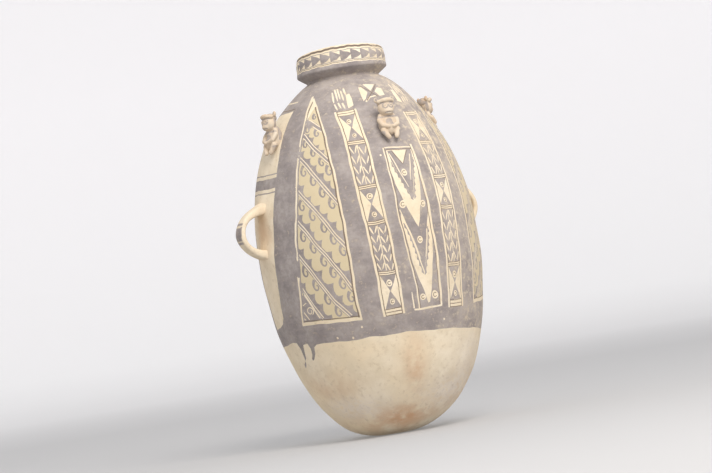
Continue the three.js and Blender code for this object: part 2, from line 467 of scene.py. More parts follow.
def wavering(sheet):
    x, y = sheet[:, 0], sheet[:, 1]
    aside = 0.45 * np.sin(y / 13 + x / 31) + 0.3 * np.sin(y / 5.1 + x / 17 + 2)
    along = 0.45 * np.sin(x / 14 + y / 29 + 1) + 0.3 * np.sin(x / 5.7 - y / 19)
    seam = ease(180 * BELLY_DEGREE, 174 * BELLY_DEGREE, np.abs(x))
    return sheet + np.stack([aside * seam, along * seam], -1)


def finely(sheet, longest=6.0, closed=True):
    ends = np.roll(sheet, -1, 0) if closed else sheet[1:]
    result = []
    for start, end in zip(sheet, ends):
        parts = max(1, math.ceil(math.dist(start, end) / longest))
        result += [start + (end - start) * i / parts for i in range(parts)]
    if not closed:
        result.append(sheet[-1])
    return np.array(result)


def lay(outline, paint):
    painting.append((wavering(outline), paint))


def area(points, paint, place=on_body, mirrored=False):
    lay(finely(place(points, mirrored)), paint)


def brush(points, width, paint, place=on_body, mirrored=False, ends=(1, 1), longest=6.0):
    """A brush line of a width in millimetres, that thins to shares of it at its two ends."""
    path = finely(place(points, mirrored), longest, closed=False)
    ahead = np.gradient(path, axis=0)
    narrow = true_share(path)
    ahead[:, 0] *= narrow
    ahead = unit_rows(ahead)
    travel = np.r_[0, np.cumsum(np.linalg.norm(np.diff(path, axis=0), axis=1))]
    share = travel / max(travel[-1], 1e-9)
    press = np.interp(share, [0, 0.3, 0.7, 1], [ends[0], 1, 1, ends[1]])
    press = press * (1 + 0.12 * np.sin(travel / 7.3 + path[0, 0]))
    side = np.stack([-ahead[:, 1] / narrow, ahead[:, 0]], -1) * (width / 2 * press)[:, None]
    lay(np.concatenate([path + side, (path - side)[::-1]]), paint)


def dab(azimuth, height, radius, paint, mirrored=False, squash=1.0, sides=14):
    """A round dab, with its radius in millimetres."""
    centre = on_body([(azimuth, height)], mirrored)[0]
    narrow = true_share(centre[None])[0]
    turns = np.linspace(0, 2 * math.pi, sides, endpoint=False)
    reach = radius * (1 + 0.06 * np.sin(2 * turns + azimuth) + 0.04 * np.sin(3 * turns + height))
    round_it = np.stack([reach * np.cos(turns) * squash / narrow, reach * np.sin(turns)], -1)
    lay(centre + round_it, paint)


def curl(azimuth, height, turns, radii, widths, paint, mirrored=False, squash=1.0):
    """A brush line round a centre: turns in degrees from the right, radii and widths in millimetres."""
    centre = on_body([(azimuth, height)], mirrored)[0]
    narrow = true_share(centre[None])[0]
    flip = -1 if mirrored else 1
    share = np.linspace(0, 1, max(8, int(abs(turns[-1] - turns[0]) / 22)))
    rows = (turns, radii, widths)
    turn, radius, width = (np.interp(share, np.linspace(0, 1, len(row)), row) for row in rows)
    angle = np.radians(turn)
    path = np.stack([flip * radius * np.cos(angle) * squash, radius * np.sin(angle)], -1)
    ahead = unit_rows(np.gradient(path, axis=0))
    side = np.stack([-ahead[:, 1], ahead[:, 0]], -1) * (width / 2)[:, None]
    outline = np.concatenate([path + side, (path - side)[::-1]])
    outline[:, 0] /= narrow
    lay(centre + outline, paint)


def ringed_dab(azimuth, height, radius, mirrored=False, squash=0.9):
    """A cream dot with a dark broken ring in it, which fills the corners of the figures."""
    dab(azimuth, height, radius, SLIP, mirrored, squash)
    curl(azimuth, height, (40, 330), (radius * 0.5, radius * 0.5), (1.3, 1.3), LINE, mirrored, squash)


# %% [markdown]
# ### Ground
# The dark ground is laid first: a ring right round the jar at the foot of the painting, with its lower
# edge where the brush stopped and two drips, and broad fields above it. Cream strips are left bare
# behind the handles.

# %% Ring, drips and dark fields
RING_EDGE = [
    (-180, 183), (-165, 186), (-150, 182), (-135, 184), (-120, 186), (-110, 185), (-99, 188),
    (-89.4, 191), (-85.8, 189), (-84.2, 176), (-84.4, 160), (-85.6, 150), (-87, 145), (-88.6, 142),
    (-88.2, 149), (-86.4, 152), (-82.6, 160), (-81.6, 172), (-80.2, 185), (-76.2, 186), (-75, 176),
    (-75.6, 165), (-77.2, 157), (-77, 153.5), (-75.4, 156), (-73, 166), (-71.8, 178), (-69.4, 182),
    (-62, 181), (-54, 180.5), (-43, 178), (-36, 180), (-28, 178), (-15.6, 179), (-6, 176), (1, 175),
    (12, 173), (23, 170), (36, 167), (48, 164), (58, 163), (75, 165), (90, 170), (105, 168),
    (120, 173), (140, 176), (160, 180), (180, 183),
]
STRIP_TOP, GROUND_TOP = 602, 653.9
area(RING_EDGE + [(180, GROUND_TOP), (-180, GROUND_TOP)], DARK)
LEFT_STRIP = [
    (-76.6, STRIP_TOP), (-76.7, 538), (-78.3, 488), (-80, 454), (-81.7, 400), (-83.9, 346),
    (-85.5, 308), (-88.3, 269), (-90, 236), (-93, 226), (-98.9, 221), (-107, 219), (-109, 235),
    (-109.5, 300), (-111, 400), (-112.5, 500), (-115, STRIP_TOP),
]
area(LEFT_STRIP, SLIP)
area(LEFT_STRIP, SLIP, mirrored=True)


def belt(start, end, low, high, slope, mirrored):
    """A dark belt across a strip, with a fine line above and below it."""
    top, bottom, line_top, line_bottom = high - 4, low + 4, high + 3, low - 3
    belt_corners = [(start, top + slope), (end, top), (end, bottom), (start, bottom + slope)]
    area(belt_corners, DARK, mirrored=mirrored)
    for height in (line_top, line_bottom):
        brush([(start, height + slope), (end, height)], 2.2, DARK, mirrored=mirrored)


for mirrored in (False, True):
    belt(start=-114, end=-78, low=464, high=490, slope=5, mirrored=mirrored)
    brush([(-115, 609), (-76, 605)], 2.2, LINE, mirrored=mirrored)
    brush([(-113, 622), (-78, 618)], 3, SLIP, mirrored=mirrored)

# %% [markdown]
# ### Hook panels
# The tall panels left and right of the front are crossed by slanting triple lines. Dark spiral hooks
# hang from each of them, and a row of dark waves rises from the next, so cream and dark run down the
# panel like surf.

# %% Hook panels
PANEL_LEFT = [
    (-60.6, 622), (-59.4, 577), (-60.6, 542), (-61.4, 519), (-62.8, 492), (-63.3, 450), (-65, 408),
    (-66.7, 369), (-67.6, 335), (-68.9, 304), (-71.1, 269), (-72.8, 242), (-74.6, 218),
]
PANEL_RIGHT = [
    (-57.8, 617), (-51.1, 600), (-47.8, 585), (-44.4, 562), (-42.2, 539), (-40.6, 508), (-39.3, 477),
    (-38.4, 423), (-37.8, 385), (-37.5, 327), (-37.9, 285), (-38.1, 246), (-37.9, 212),
]
# which of a point's two numbers is which
AZIMUTH, HEIGHT = 0, 1


def read_off(line, axis, value):
    """The azimuth of a line at a height, or its height at an azimuth. The axis says which is given."""
    line = sorted(line, key=lambda point: point[axis])
    return float(np.interp(value, [p[axis] for p in line], [p[1 - axis] for p in line]))


def inset(line, degrees):
    return [(a + degrees, z) for a, z in line]


SLANTS = [
    [(-59.4, 578), (-54, 572), (-48, 560), (-44.2, 553)],
    [(-59.6, 552), (-57, 547), (-50, 523), (-45, 507), (-41.4, 495)],
    [(-61.6, 515), (-60, 509), (-55, 491), (-50, 469), (-45, 446), (-39.4, 418)],
    [(-63.2, 458), (-57, 433), (-52, 411), (-47, 384), (-43, 361), (-38.8, 341)],
    [(-64.6, 402), (-60, 383), (-55, 356), (-50, 331), (-45, 302), (-42, 284), (-38.8, 264)],
    [(-66.4, 343), (-60, 309), (-55, 279), (-50, 249), (-45, 228), (-42.8, 218)],
    [(-67.6, 279), (-63, 247), (-58.6, 222)],
]
WAVES = [
    [],
    [(-57, 561), (-53.6, 552), (-50.3, 544), (-46.7, 529), (-43.6, 518), (-41.2, 506)],
    [(-60.6, 530), (-56.7, 522), (-52.6, 507), (-49.2, 493), (-45.3, 477), (-42.2, 461), (-40, 446)],
    [(-60.8, 478), (-57.5, 462), (-53.7, 440), (-49.4, 422), (-45.9, 405), (-42.1, 388), (-39.2, 371)],
    [
        (-63.2, 426), (-60.1, 411), (-56.2, 394), (-54.3, 378),
        (-50.8, 361), (-46.6, 339), (-43.3, 317), (-39.6, 301),
    ],
    [
        (-65.3, 370), (-61.9, 351), (-58.2, 331), (-53.6, 308),
        (-48.7, 283), (-45.1, 259), (-40.9, 240), (-38.6, 226),
    ],
    [(-67.4, 306), (-64.9, 292), (-60.6, 271), (-57.2, 251), (-53.6, 230)],
]
HOOKS = [
    [(-55.6, 560), (-48.6, 550)],
    [(-56.2, 533), (-50.7, 515), (-46, 495), (-42.3, 478)],
    [(-57.5, 484), (-51.8, 464), (-47, 441), (-42.8, 418)],
    [(-59.8, 425), (-54.4, 404), (-48.7, 380), (-44.6, 357), (-40.7, 334)],
    [(-61, 370), (-56.2, 347), (-51.7, 321), (-47.9, 299), (-43.8, 277), (-40.9, 252)],
    [(-63.3, 309), (-58.7, 282), (-53.6, 255), (-49.3, 231)],
]
# the hooks above this height are smaller than the others
SMALL_HOOKS_FROM, SMALL_HOOK = 490, 0.8
# the scooped face of a wave, from one tip to the next: shares of the way across and of the way down
WAVE_FACE = ((-0.14, 0.28), (-0.2, 0.58), (0.0, 0.88), (0.34, 1.04), (0.72, 1.03))


def wave_row(tips, slant, mirrored):
    """Dark waves that rise from a slanting line. Each tip points away from it over a scooped face."""
    if not tips:
        return
    edge = [tips[0]]
    for (a0, z0), (a1, z1) in zip(tips, tips[1:]):
        edge += [(a0 + aside * (a1 - a0), z0 + down * (z1 - z0)) for aside, down in WAVE_FACE]
        edge.append((a1, z1))
    back = [(a, read_off(slant, AZIMUTH, a)) for a in np.linspace(tips[-1][0], tips[0][0] - 3, 9)]
    area(edge + back, DARK, mirrored=mirrored)


HOOK_TURNS = (98, 135, 180, 228, 275, 322, 372, 430)
HOOK_RADII = (12, 9, 7.2, 6.8, 6.8, 5.6, 3.8, 1.4)
HOOK_WIDTHS = (6.6, 5.2, 3.6, 3.1, 2.9, 2.7, 2.6)


def hook(azimuth, height, mirrored, small=1.0):
    radii = np.array(HOOK_RADII) * small
    curl(azimuth, height, HOOK_TURNS, radii, HOOK_WIDTHS, DARK, mirrored, squash=0.78)


def hook_panel(mirrored):
    fill, draw = partial(area, mirrored=mirrored), partial(brush, mirrored=mirrored)
    fill(PANEL_LEFT + PANEL_RIGHT[::-1], SLIP)
    fill(inset(PANEL_LEFT[1:], 1.9) + inset(PANEL_RIGHT[1:], -1.4)[::-1], OCHRE)
    for tips, slant in zip(WAVES, SLANTS):
        wave_row(tips, slant, mirrored)
    for row in HOOKS:
        for azimuth, height in row:
            hook(azimuth, height, mirrored, SMALL_HOOK if height > SMALL_HOOKS_FROM else 1.0)
    for slant in SLANTS:
        draw(slant, 9.4, DARK)
        for shift in (-3.9, 3.9):
            draw([(a, z + shift) for a, z in slant], 1.9, SLIP)
    # the narrow top above the first slant
    fill([(-57.4, 566), (-56.8, 583), (-55, 572.5), (-52.4, 571), (-51.2, 565), (-54, 560)], DARK)
    hook(-51.2, 581, mirrored, 0.62)
    draw([(-58, 562), (-57.8, 590), (-57.2, 612)], 2.4, LINE)
    # the corner under the last slant
    fill([(-69.6, 268), (-68, 272), (-59.2, 222), (-73.6, 222)], DARK)
    draw([(-67.6, 271), (-60.8, 226)], 2.6, SLIP)
    turns, radii = (-60, 60, 150, 240, 330, 400), (7.5, 6.6, 6.2, 5.4, 3.6, 2)
    curl(-66, 241, turns, radii, (1.8, 1.8, 1.4), SLIP, mirrored)
    draw([(-70.2, 252), (-67.6, 256)], 1.8, SLIP)
    draw([(-70.4, 240), (-68, 226)], 2.4, SLIP)
    draw([(-72, 230), (-70.6, 226)], 2, SLIP)
    # frame lines: cream outside, a fine dark line inside it
    frame_left = inset(PANEL_LEFT, 0.7)
    if mirrored:
        draw(frame_left, 3.6, SLIP)
    else:
        # the brush was lifted twice here, and each time set down again a little further out
        fill([(-72, 334), (-66.4, 334), (-67.6, 303), (-72, 303)], DARK)
        fill([(-64, 532), (-60.2, 532), (-61, 513), (-64, 513)], DARK)
        draw(frame_left[:3] + [(-60.6, 531)], 3.6, SLIP, ends=(1, 0.5))
        draw([(-61.5, 512)] + frame_left[4:8] + [(-67.1, 332)], 3.6, SLIP, ends=(0.6, 0.6))
        draw([(-69.1, 305)] + frame_left[10:], 3.6, SLIP, ends=(0.4, 1))
    draw(inset(PANEL_LEFT[1:], 1.6), 3, DARK)
    draw(inset(PANEL_RIGHT, -0.5), 4, SLIP)
    draw(inset(PANEL_RIGHT[1:], -1.4), 2.6, LINE)
    draw([(-74.6, 220), (-55, 217.5), (-37.8, 213)], 5.6, SLIP)
    draw([(-73, 224.4), (-55, 222), (-39.4, 218)], 1.7, LINE)


hook_panel(mirrored=False)
hook_panel(mirrored=True)

# %% [markdown]
# ### Columns
# Narrow columns run up between the panels. Their cells repeat: an hourglass of two dark triangles
# between cream ones, each with a ringed dot, then a pair of cream bars, then a cell of feathered
# strokes. They are drawn between the column's two edges, in shares of its width, so one set of cells
# fits every column, front and back.

# %% Columns
COLUMN_LEFT = [
    (-36.4, 590), (-32.2, 550), (-30.6, 508), (-29.8, 446), (-28.3, 385), (-27.2, 327), (-26.6, 269),
    (-26.4, 215),
]
COLUMN_RIGHT = [
    (-20.6, 604), (-18.5, 542), (-17.8, 500), (-17.8, 442), (-17.2, 400), (-16.2, 346), (-15.7, 289),
    (-14.9, 215),
]


def column_tools(left, right, mirrored):
    """The same brushes, with places given as a share of the column's width and a height."""
    def spot(share, height):
        start = read_off(left, HEIGHT, height)
        return (start + (read_off(right, HEIGHT, height) - start) * share, height)

    def fill(corners, paint):
        area([spot(*corner) for corner in corners], paint, mirrored=mirrored)

    def draw(corners, width, paint, ends=(1, 1)):
        brush([spot(*corner) for corner in corners], width, paint, mirrored=mirrored, ends=ends)

    def ring(share, height, radius):
        ringed_dab(*spot(share, height), radius, mirrored)

    return fill, draw, ring


def field(fill, low, high, paint):
    fill([(0.06, low), (0.94, low), (0.94, high), (0.06, high)], paint)


def hourglass(fill, draw, ring, low, high):
    tall, middle = high - low, (low + high) / 2 + 1
    field(fill, low, high, SLIP)
    fill([(0.14, high), (0.88, high), (0.52, middle - 1)], DARK)
    fill([(0.16, low), (0.9, low), (0.5, middle + 1)], DARK)
    ring(0.5, high - 0.24 * tall, 0.105 * tall)
    ring(0.52, low + 0.19 * tall, 0.088 * tall)


def bars(fill, draw, ring, low, high):
    field(fill, low, high, SLIP)
    for height in (low + 0.6, (low + high) / 2, high - 0.6):
        draw([(0.1, height), (0.5, height - 0.5), (0.9, height + 0.3)], 1.5, LINE)


def feathers(fill, draw, ring, low, high, pitch=17.5):
    field(fill, low, high, DARK)
    draw([(0.5, low + 1), (0.49, (low + high) / 2), (0.5, high - 1)], 1.7, SLIP)
    rows = max(1, round((high - low) / pitch))
    step = (high - low) / rows
    for row in range(rows):
        top = high - row * step - 2
        for start, drop in ((0.13, 0), (0.55, 2.5)):
            for first, last, length, width in ((0, 0.14, 0.8, 2.6), (0.33, 0.2, 0.72, 2.3)):
                stroke = [(start + first, top - drop), (start + last, top - drop - length * step)]
                draw(stroke, width, SLIP, ends=(1, 0.3))


def column(left, right, cells, edges, mirrored=False):
    """Cells from the top down, between heights, and then the column's borders."""
    fill, draw, ring = column_tools(left, right, mirrored)
    for cell, high, low in zip(cells, edges, edges[1:]):
        cell(fill, draw, ring, low, high)
    heights = np.linspace(edges[-1], edges[0], 24)
    for border, fine in ((0.03, 0.105), (0.97, 0.9)):
        draw([(border, z) for z in heights], 3.8, SLIP)
        draw([(fine, z) for z in heights], 1.5, LINE)


FRONT_CELLS = (bars, hourglass, bars, feathers) * 2 + (bars, hourglass, bars)
FRONT_EDGES = (583, 573, 525, 517, 443, 435, 379, 371, 289, 281, 223, 211)
WORN_EDGES = (568, 560, 510, 502, 446, 438, 390, 382, 288, 280, 222, 209)
column(COLUMN_LEFT, COLUMN_RIGHT, FRONT_CELLS, FRONT_EDGES)
column(COLUMN_LEFT, COLUMN_RIGHT, FRONT_CELLS, WORN_EDGES, mirrored=True)

# the feathered cell that spreads over the shoulder above the column
for mirrored in (False, True):
    for start, end in (
        ((-39.6, 622), (-36.4, 600)), ((-37.2, 627), (-33.4, 603)), ((-34.6, 627), (-31.4, 606)),
        ((-36, 598), (-33.4, 586)), ((-33, 600), (-30.6, 588)), ((-31, 622), (-28.4, 602)),
        ((-28.4, 626), (-26.4, 612)), ((-29.6, 598), (-27.6, 586)),
    ):
        brush([start, end], 3.2, SLIP, mirrored=mirrored, ends=(0.8, 0.3))
    patch = [(-26.6, 612), (-23, 614), (-21.6, 604), (-21, 590), (-25.2, 586), (-26, 600)]
    area(patch, SLIP, mirrored=mirrored)

# %% [markdown]
# ### The middle panel
# In the middle hang two great cream wedges, one above the other, each with a dark toothed wedge cut
# into it and ringed dots in the corners.

# %% Middle panel
def toothed_edge(line, teeth, side):
    """A dark line with short teeth on one side of it."""
    brush(line, 1.8, DARK)
    heights = np.linspace(line[0][1], line[-1][1], teeth + 1)
    for low, high in zip(heights[1:], heights[:-1]):
        top, bottom = read_off(line, HEIGHT, high), read_off(line, HEIGHT, low)
        area([(top, high), (bottom + side * 1.15, low + (high - low) * 0.25), (bottom, low)], DARK)


TOP_WEDGE = [
    (-9.2, 486), (-9.4, 462), (-8.8, 438), (-7, 412), (-4.6, 388), (-1.9, 366), (-0.6, 357), (0.6, 368),
    (2.2, 392), (4.3, 418), (6.1, 448), (7.2, 480), (7.2, 497), (-8.8, 499),
]
WEDGE_IN_IT = [
    (-8.2, 497), (-7.6, 478), (-5, 446), (-2.9, 424), (-1.3, 406), (-0.2, 412), (1.6, 438), (4.2, 466),
    (6, 486), (6.4, 497),
]
LOW_WEDGE = [
    (-9.4, 378), (-9, 352), (-8, 322), (-6.8, 292), (-4.8, 265), (-2.8, 244), (-1.2, 223), (0, 224),
    (1.6, 246), (3, 268), (4.4, 300), (5.8, 332), (6.5, 366), (6.6, 384), (4.8, 366), (3.2, 338),
    (1, 308), (-1, 276), (-2.6, 300), (-4.4, 330), (-6.4, 354), (-8.8, 386),
]
MIDDLE_LEFT = [
    (-10.2, 504), (-10.4, 423), (-10.6, 385), (-9.4, 327), (-7.6, 280), (-6.9, 250), (-6.6, 216),
]
MIDDLE_RIGHT = [(8, 506), (7.3, 423), (7.2, 365), (7.3, 308), (7, 216)]


def ringed_dabs(places):
    for azimuth, height, radius in places:
        ringed_dab(azimuth, height, radius)


def middle_panel():
    area(TOP_WEDGE, SLIP)
    area(WEDGE_IN_IT, DARK)
    toothed_edge([(-7.9, 476), (-5, 444), (-2.9, 420), (-1.2, 405)], 7, -1)
    toothed_edge([(5.9, 482), (3.8, 458), (1.5, 430), (-0.2, 407)], 7, 1)
    brush([(-7.6, 492), (-5.2, 466), (-3.2, 442), (-1.8, 428)], 1.9, SLIP, ends=(1, 0.5))
    brush([(4.6, 488), (2.4, 464), (0.4, 440)], 1.9, SLIP, ends=(1, 0.5))
    area([(-5.4, 497), (3.2, 496), (-1.4, 471)], SLIP)
    brush([(-5.8, 496), (-1.5, 470), (3.6, 495)], 1.4, LINE)
    # one dot in the top wedge, and two in the corners under it
    ringed_dabs([(-2, 455, 6.4), (-7.2, 400, 7), (3.9, 396, 6.2)])
    area(LOW_WEDGE, SLIP)
    toothed_edge([(-8.4, 366), (-6.4, 342), (-4.6, 314), (-3, 292), (-1.8, 274)], 8, -1)
    toothed_edge([(4.6, 356), (3.2, 332), (1.4, 306), (-0.2, 284), (-1.2, 272)], 7, 1)
    brush([(-9.3, 391), (-7.2, 364), (-5, 336), (-3.6, 315), (-2.4, 300)], 1.9, SLIP, ends=(1, 0.4))
    brush([(3.9, 352), (1.9, 326), (0.3, 303)], 1.9, SLIP, ends=(1, 0.4))
    ringed_dabs([(-1.4, 334, 6.4), (-3.9, 235, 6), (3.3, 235, 7.4)])
    # frame
    for line, width, paint in (
        ([(-9.6, 503.5), (8, 500.5)], 2.6, SLIP),
        ([(-9.2, 499), (7, 497)], 1.4, LINE),
        (MIDDLE_LEFT, 2.3, SLIP),
        (inset(MIDDLE_LEFT, 0.65), 1.3, LINE),
        (MIDDLE_RIGHT, 4.4, SLIP),
        (inset(MIDDLE_RIGHT, -0.9), 1.3, LINE),
        ([(-9.4, 214.5), (7.4, 215)], 3.4, SLIP),
    ):
        brush(line, width, paint)
    brush([(-9.8, 246), (-9.5, 217)], 2.6, SLIP, ends=(0.4, 1))


middle_panel()

# crossed triangles above the monkey
for corners in (
    [(-7.8, 629), (5, 627), (-2.8, 614)],
    [(-13.6, 624), (-10.6, 624), (-6.4, 612), (-9.8, 600), (-12.4, 596)],
    [(0.8, 612), (5.6, 620), (9.6, 618), (9, 604), (3.6, 602)],
):
    area(corners, SLIP)
brush([(-10.6, 594), (-6, 602), (0.4, 604)], 3, SLIP)
brush([(-11.6, 627), (-4.4, 614), (2, 601)], 1.8, LINE)
brush([(6.8, 627), (-1.6, 612), (-9.4, 596)], 1.8, LINE)
# stray flecks of slip in the ring
for azimuth, height in ((-54, 187), (-45, 183), (-39, 199), (-12.6, 492), (8.5, 190)):
    dab(azimuth, height, 1.9, SLIP)

# %% [markdown]
# ### The back
# The photograph doesn't show the back. It carries the same ground, with two plainer columns of bars and
# hourglasses between pairs of cream lines.

# %% Plainer columns at the back
BACK_CELLS = (bars, hourglass) * 5 + (bars,)
BACK_EDGES = (569, 560, 505, 496, 436, 427, 366, 357, 295, 286, 225, 212)
HALF_WIDTHS = ((4.29, 590), (5.85, 500), (6.5, 400), (6.5, 300), (6.175, 215))
for centre in (-147, 147):
    left, right = ([(centre + side * half, z) for half, z in HALF_WIDTHS] for side in (-1, 1))
    column(left, right, BACK_CELLS, BACK_EDGES)
for azimuth in (-130, -127, -165, -162, 130, 127, 165, 162):
    brush([(azimuth, 214), (azimuth * 0.998, 400), (azimuth * 0.994, 585)], 3, SLIP)

# %% [markdown]
# ### The collar
# A dark band runs round the collar's face between fine lines, and cream wedges laid over it leave a row
# of dark arrowheads. The collar's underside and the joint below it are dark.

# %% Collar
FULL = 180
# the seam at the back stays free of arrowheads for this many degrees on each side
ARROWS, FREE = 26, 6
# the two wedges of one arrowhead: shares of its width and of the collar's height
WEDGES = (
    ((0.1, 0.69), (0.96, 0.69), (0.93, 0.52), (0.5, 0.62)),
    ((0.14, 0.26), (0.98, 0.26), (0.95, 0.45), (0.55, 0.31)),
)


def stripe(low, high, paint, place=on_collar):
    area([(-FULL, low), (FULL, low), (FULL, high), (-FULL, high)], paint, place=place)


stripe(-0.95, 0.13, DARK)
stripe(0.175, 0.2, LINE)
stripe(0.23, 0.72, DARK)
stripe(0.79, 0.89, LINE)
stripe(0, 1, DARK, place=on_joint)
arrow_turn = 2 * (FULL - FREE) / ARROWS
for number in range(ARROWS):
    start = number * arrow_turn - FULL + FREE
    for wedge in WEDGES:
        area([(start + arrow_turn * share, height) for share, height in wedge], SLIP, place=on_collar)
# a patch where the dark band is rubbed away
area([(-108, 0.12), (-102, 0.12), (-102, 0.78), (-108, 0.78)], SLIP, place=on_collar)
print("figures painted:", len(painting), "with", sum(len(o) for o, _ in painting), "corners")

# %% [markdown]
# ## Body
# The painted part of the skin is a flat sheet of triangles: every outline goes in as edges, over a net
# of points about seven millimetres apart that carries the curve, and a constrained Delaunay
# triangulation joins them. Each triangle takes the paint of the last figure that covers its middle, and
# the sheet is then rolled round the jar. Below and inside there is no painting, so plain rings carry on
# from the sheet's edges.

# %% Triangulate the sheet
SHEET_FOOT = 128
SHEET_LOW = float(reach_of_height(SHEET_FOOT))
SHEET_HIGH = float(skin_reach[lip_top])
SHEET_SIDE = FULL * BELLY_DEGREE


def base_net(across, along):
    columns = int(round(2 * SHEET_SIDE / across))
    rows = int(round((SHEET_HIGH - SHEET_LOW) / along))
    x = np.linspace(-SHEET_SIDE, SHEET_SIDE, columns + 1)
    y = np.linspace(SHEET_LOW, SHEET_HIGH, rows + 1)
    extra = skin_reach[(skin_reach > skin_reach[body_end] - 4) & (skin_reach < SHEET_HIGH - 0.4)]
    y = np.unique(np.round(np.r_[y, extra[::2]], 3))
    keep = np.r_[True, np.diff(y) > 0.9]
    y = y[keep]
    y[-1] = SHEET_HIGH
    return np.array([(a, b) for b in y for a in x]), len(x), len(y)


def inside_outline(points, outline):
    """Even-odd test of points against an outline."""
    x, y = points[:, 0][:, None], points[:, 1][:, None]
    x0, y0 = outline[:, 0], outline[:, 1]
    x1, y1 = np.roll(x0, -1), np.roll(y0, -1)
    spans = (y0 > y) != (y1 > y)
    with np.errstate(divide="ignore", invalid="ignore"):
        crossing = x0 + (y - y0) / (y1 - y0) * (x1 - x0)
    return (np.sum(spans & (x < crossing), axis=1) % 2).astype(bool)


net, net_columns, net_rows = base_net(across=7.1, along=7.0)
limits = np.array([[-SHEET_SIDE, SHEET_LOW], [SHEET_SIDE, SHEET_HIGH]])
corners, edges = [Vector(p) for p in net], []
for row in (0, net_rows - 1):
    edges += [(row * net_columns + i, row * net_columns + i + 1) for i in range(net_columns - 1)]
for side in (0, net_columns - 1):
    edges += [(row * net_columns + side, (row + 1) * net_columns + side) for row in range(net_rows - 1)]
outlines = []
for outline, paint in painting:
    outline = np.clip(outline, limits[0], limits[1])
    first = len(corners)
    corners += [Vector(p) for p in outline]
    edges += [(first + i, first + (i + 1) % len(outline)) for i in range(len(outline))]
    outlines.append((outline, paint))
# points closer together than this, in millimetres, become one
MERGE = 0.02
flat_points, _, flat_faces, _, _, _ = delaunay_2d_cdt(corners, edges, [], 0, MERGE, False)
flat_points = np.array([p[:] for p in flat_points], float)
flat_faces = np.array([f for f in flat_faces if len(f) == 3], int)
a, b, c = (flat_points[flat_faces[:, i]] for i in range(3))
turned = (b[:, 0] - a[:, 0]) * (c[:, 1] - a[:, 1]) - (b[:, 1] - a[:, 1]) * (c[:, 0] - a[:, 0])
flat_faces = flat_faces[np.abs(turned) > 1e-5]
turned = turned[np.abs(turned) > 1e-5]
flat_faces[turned < 0] = flat_faces[turned < 0][:, ::-1]
middles = flat_points[flat_faces].mean(1)
print("sheet:", len(flat_points), "points,", len(flat_faces), "triangles")

# %% Give each triangle its paint
PAINTS = {SLIP: (0, 0, 0), DARK: (1, 0, 0), LINE: (0, 0, 1), OCHRE: (0, 1, 0)}
face_paint = np.zeros((len(flat_faces), 3))
for outline, paint in outlines:
    low, high = outline.min(0), outline.max(0)
    near = np.flatnonzero(((middles >= low) & (middles <= high)).all(1))
    if len(near):
        face_paint[near[inside_outline(middles[near], outline)]] = PAINTS[paint]

# %% Roll the sheet round the jar and add the plain rings
def edge_row(height):
    """The sheet's points along its lower or upper edge, in order, but not the seam's second one."""
    found = np.flatnonzero(np.abs(flat_points[:, 1] - height) < 1e-3)
    return found[np.argsort(flat_points[found, 0])][:-1]


places = [np.stack([flat_points[:, 0] / BELLY_DEGREE, flat_points[:, 1]], -1)]
faces = [flat_faces]


def add_places(azimuths, reach):
    """Adds places at one reach, and gives their numbers."""
    first = sum(len(rows) for rows in places)
    places.append(np.stack([azimuths, np.full(len(azimuths), reach)], -1))
    return np.arange(first, first + len(azimuths))


def plain_rings(start, reaches):
    """Rings of points on the azimuths of the sheet's edge, from it to the last reach, closed there."""
    azimuths = flat_points[start, 0] / BELLY_DEGREE
    rings = [start] + [add_places(azimuths, reach) for reach in reaches[:-1]]
    pole = add_places(np.zeros(1), reaches[-1])
    upwards = reaches[-1] > reaches[0]
    for low, high in zip(rings, rings[1:]):
        after_low, after_high = np.roll(low, -1), np.roll(high, -1)
        halves = [np.stack([low, after_low, after_high], -1), np.stack([low, after_high, high], -1)]
        faces.extend(halves if upwards else [h[:, ::-1] for h in halves])
    last = rings[-1]
    fan = np.stack([last, np.roll(last, -1), np.repeat(pole, len(last))], -1)
    faces.append(fan if upwards else fan[:, ::-1])


foot_edge = float(skin_reach[WALL_START])
lower_reaches = list(np.linspace(SHEET_LOW, foot_edge + 1.2, 17)[1:])
plain_rings(edge_row(SHEET_LOW), lower_reaches + [foot_edge, foot_edge - 1.8, 20, 8, 0])
turn_in = skin_reach[(skin_reach > SHEET_HIGH + 0.5) & (skin_reach < SHEET_HIGH + 62)][::2]
inner_reaches = np.linspace(turn_in[-1] + 9, skin_reach[-1] - 6, 52)
plain_rings(edge_row(SHEET_HIGH), [*turn_in, *inner_reaches, skin_reach[-1]])
places = np.concatenate(places)
body_faces = np.concatenate(faces)
body_paint = np.zeros((len(body_faces), 3))
body_paint[: len(flat_faces)] = face_paint
body_points = skin_point(places[:, 0], places[:, 1])
body_normals = skin_normal(places[:, 0], places[:, 1])
print("body:", len(body_points), "points,", len(body_faces), "triangles")

# %% [markdown]
# ### Where the jar is rubbed and stained, and where light and shade are painted
# Wear isn't even. The paint is thin and rubbed on the shoulder, the bare clay below has orange and
# rosy clouds from the fire and a chalky patch where it was abraded. The same masks also carry painted
# light and shade: the dark paint is paler on the right, where the light falls, and fuller on the far
# left, which is in shade, and the wall behind the left handle is rosy-brown painted shade. Each is a
# soft mask on the mesh, and the material breaks it up with grain.

# %% Masks for wear, painted light and shade, rosy clouds and chalk
# soft spots: strength, azimuth, height, and the half width in degrees and half height in millimetres
# two rubbed spots, and one at azimuth -70 that takes wear away: fuller dark paint on the far left, as
# painted shade
RUBBED_AND_SHADED_SPOTS = ((0.3, 21, 540, 14, 60), (0.25, -12, 260, 5, 60), (-0.2, -70, 380, 14, 160))
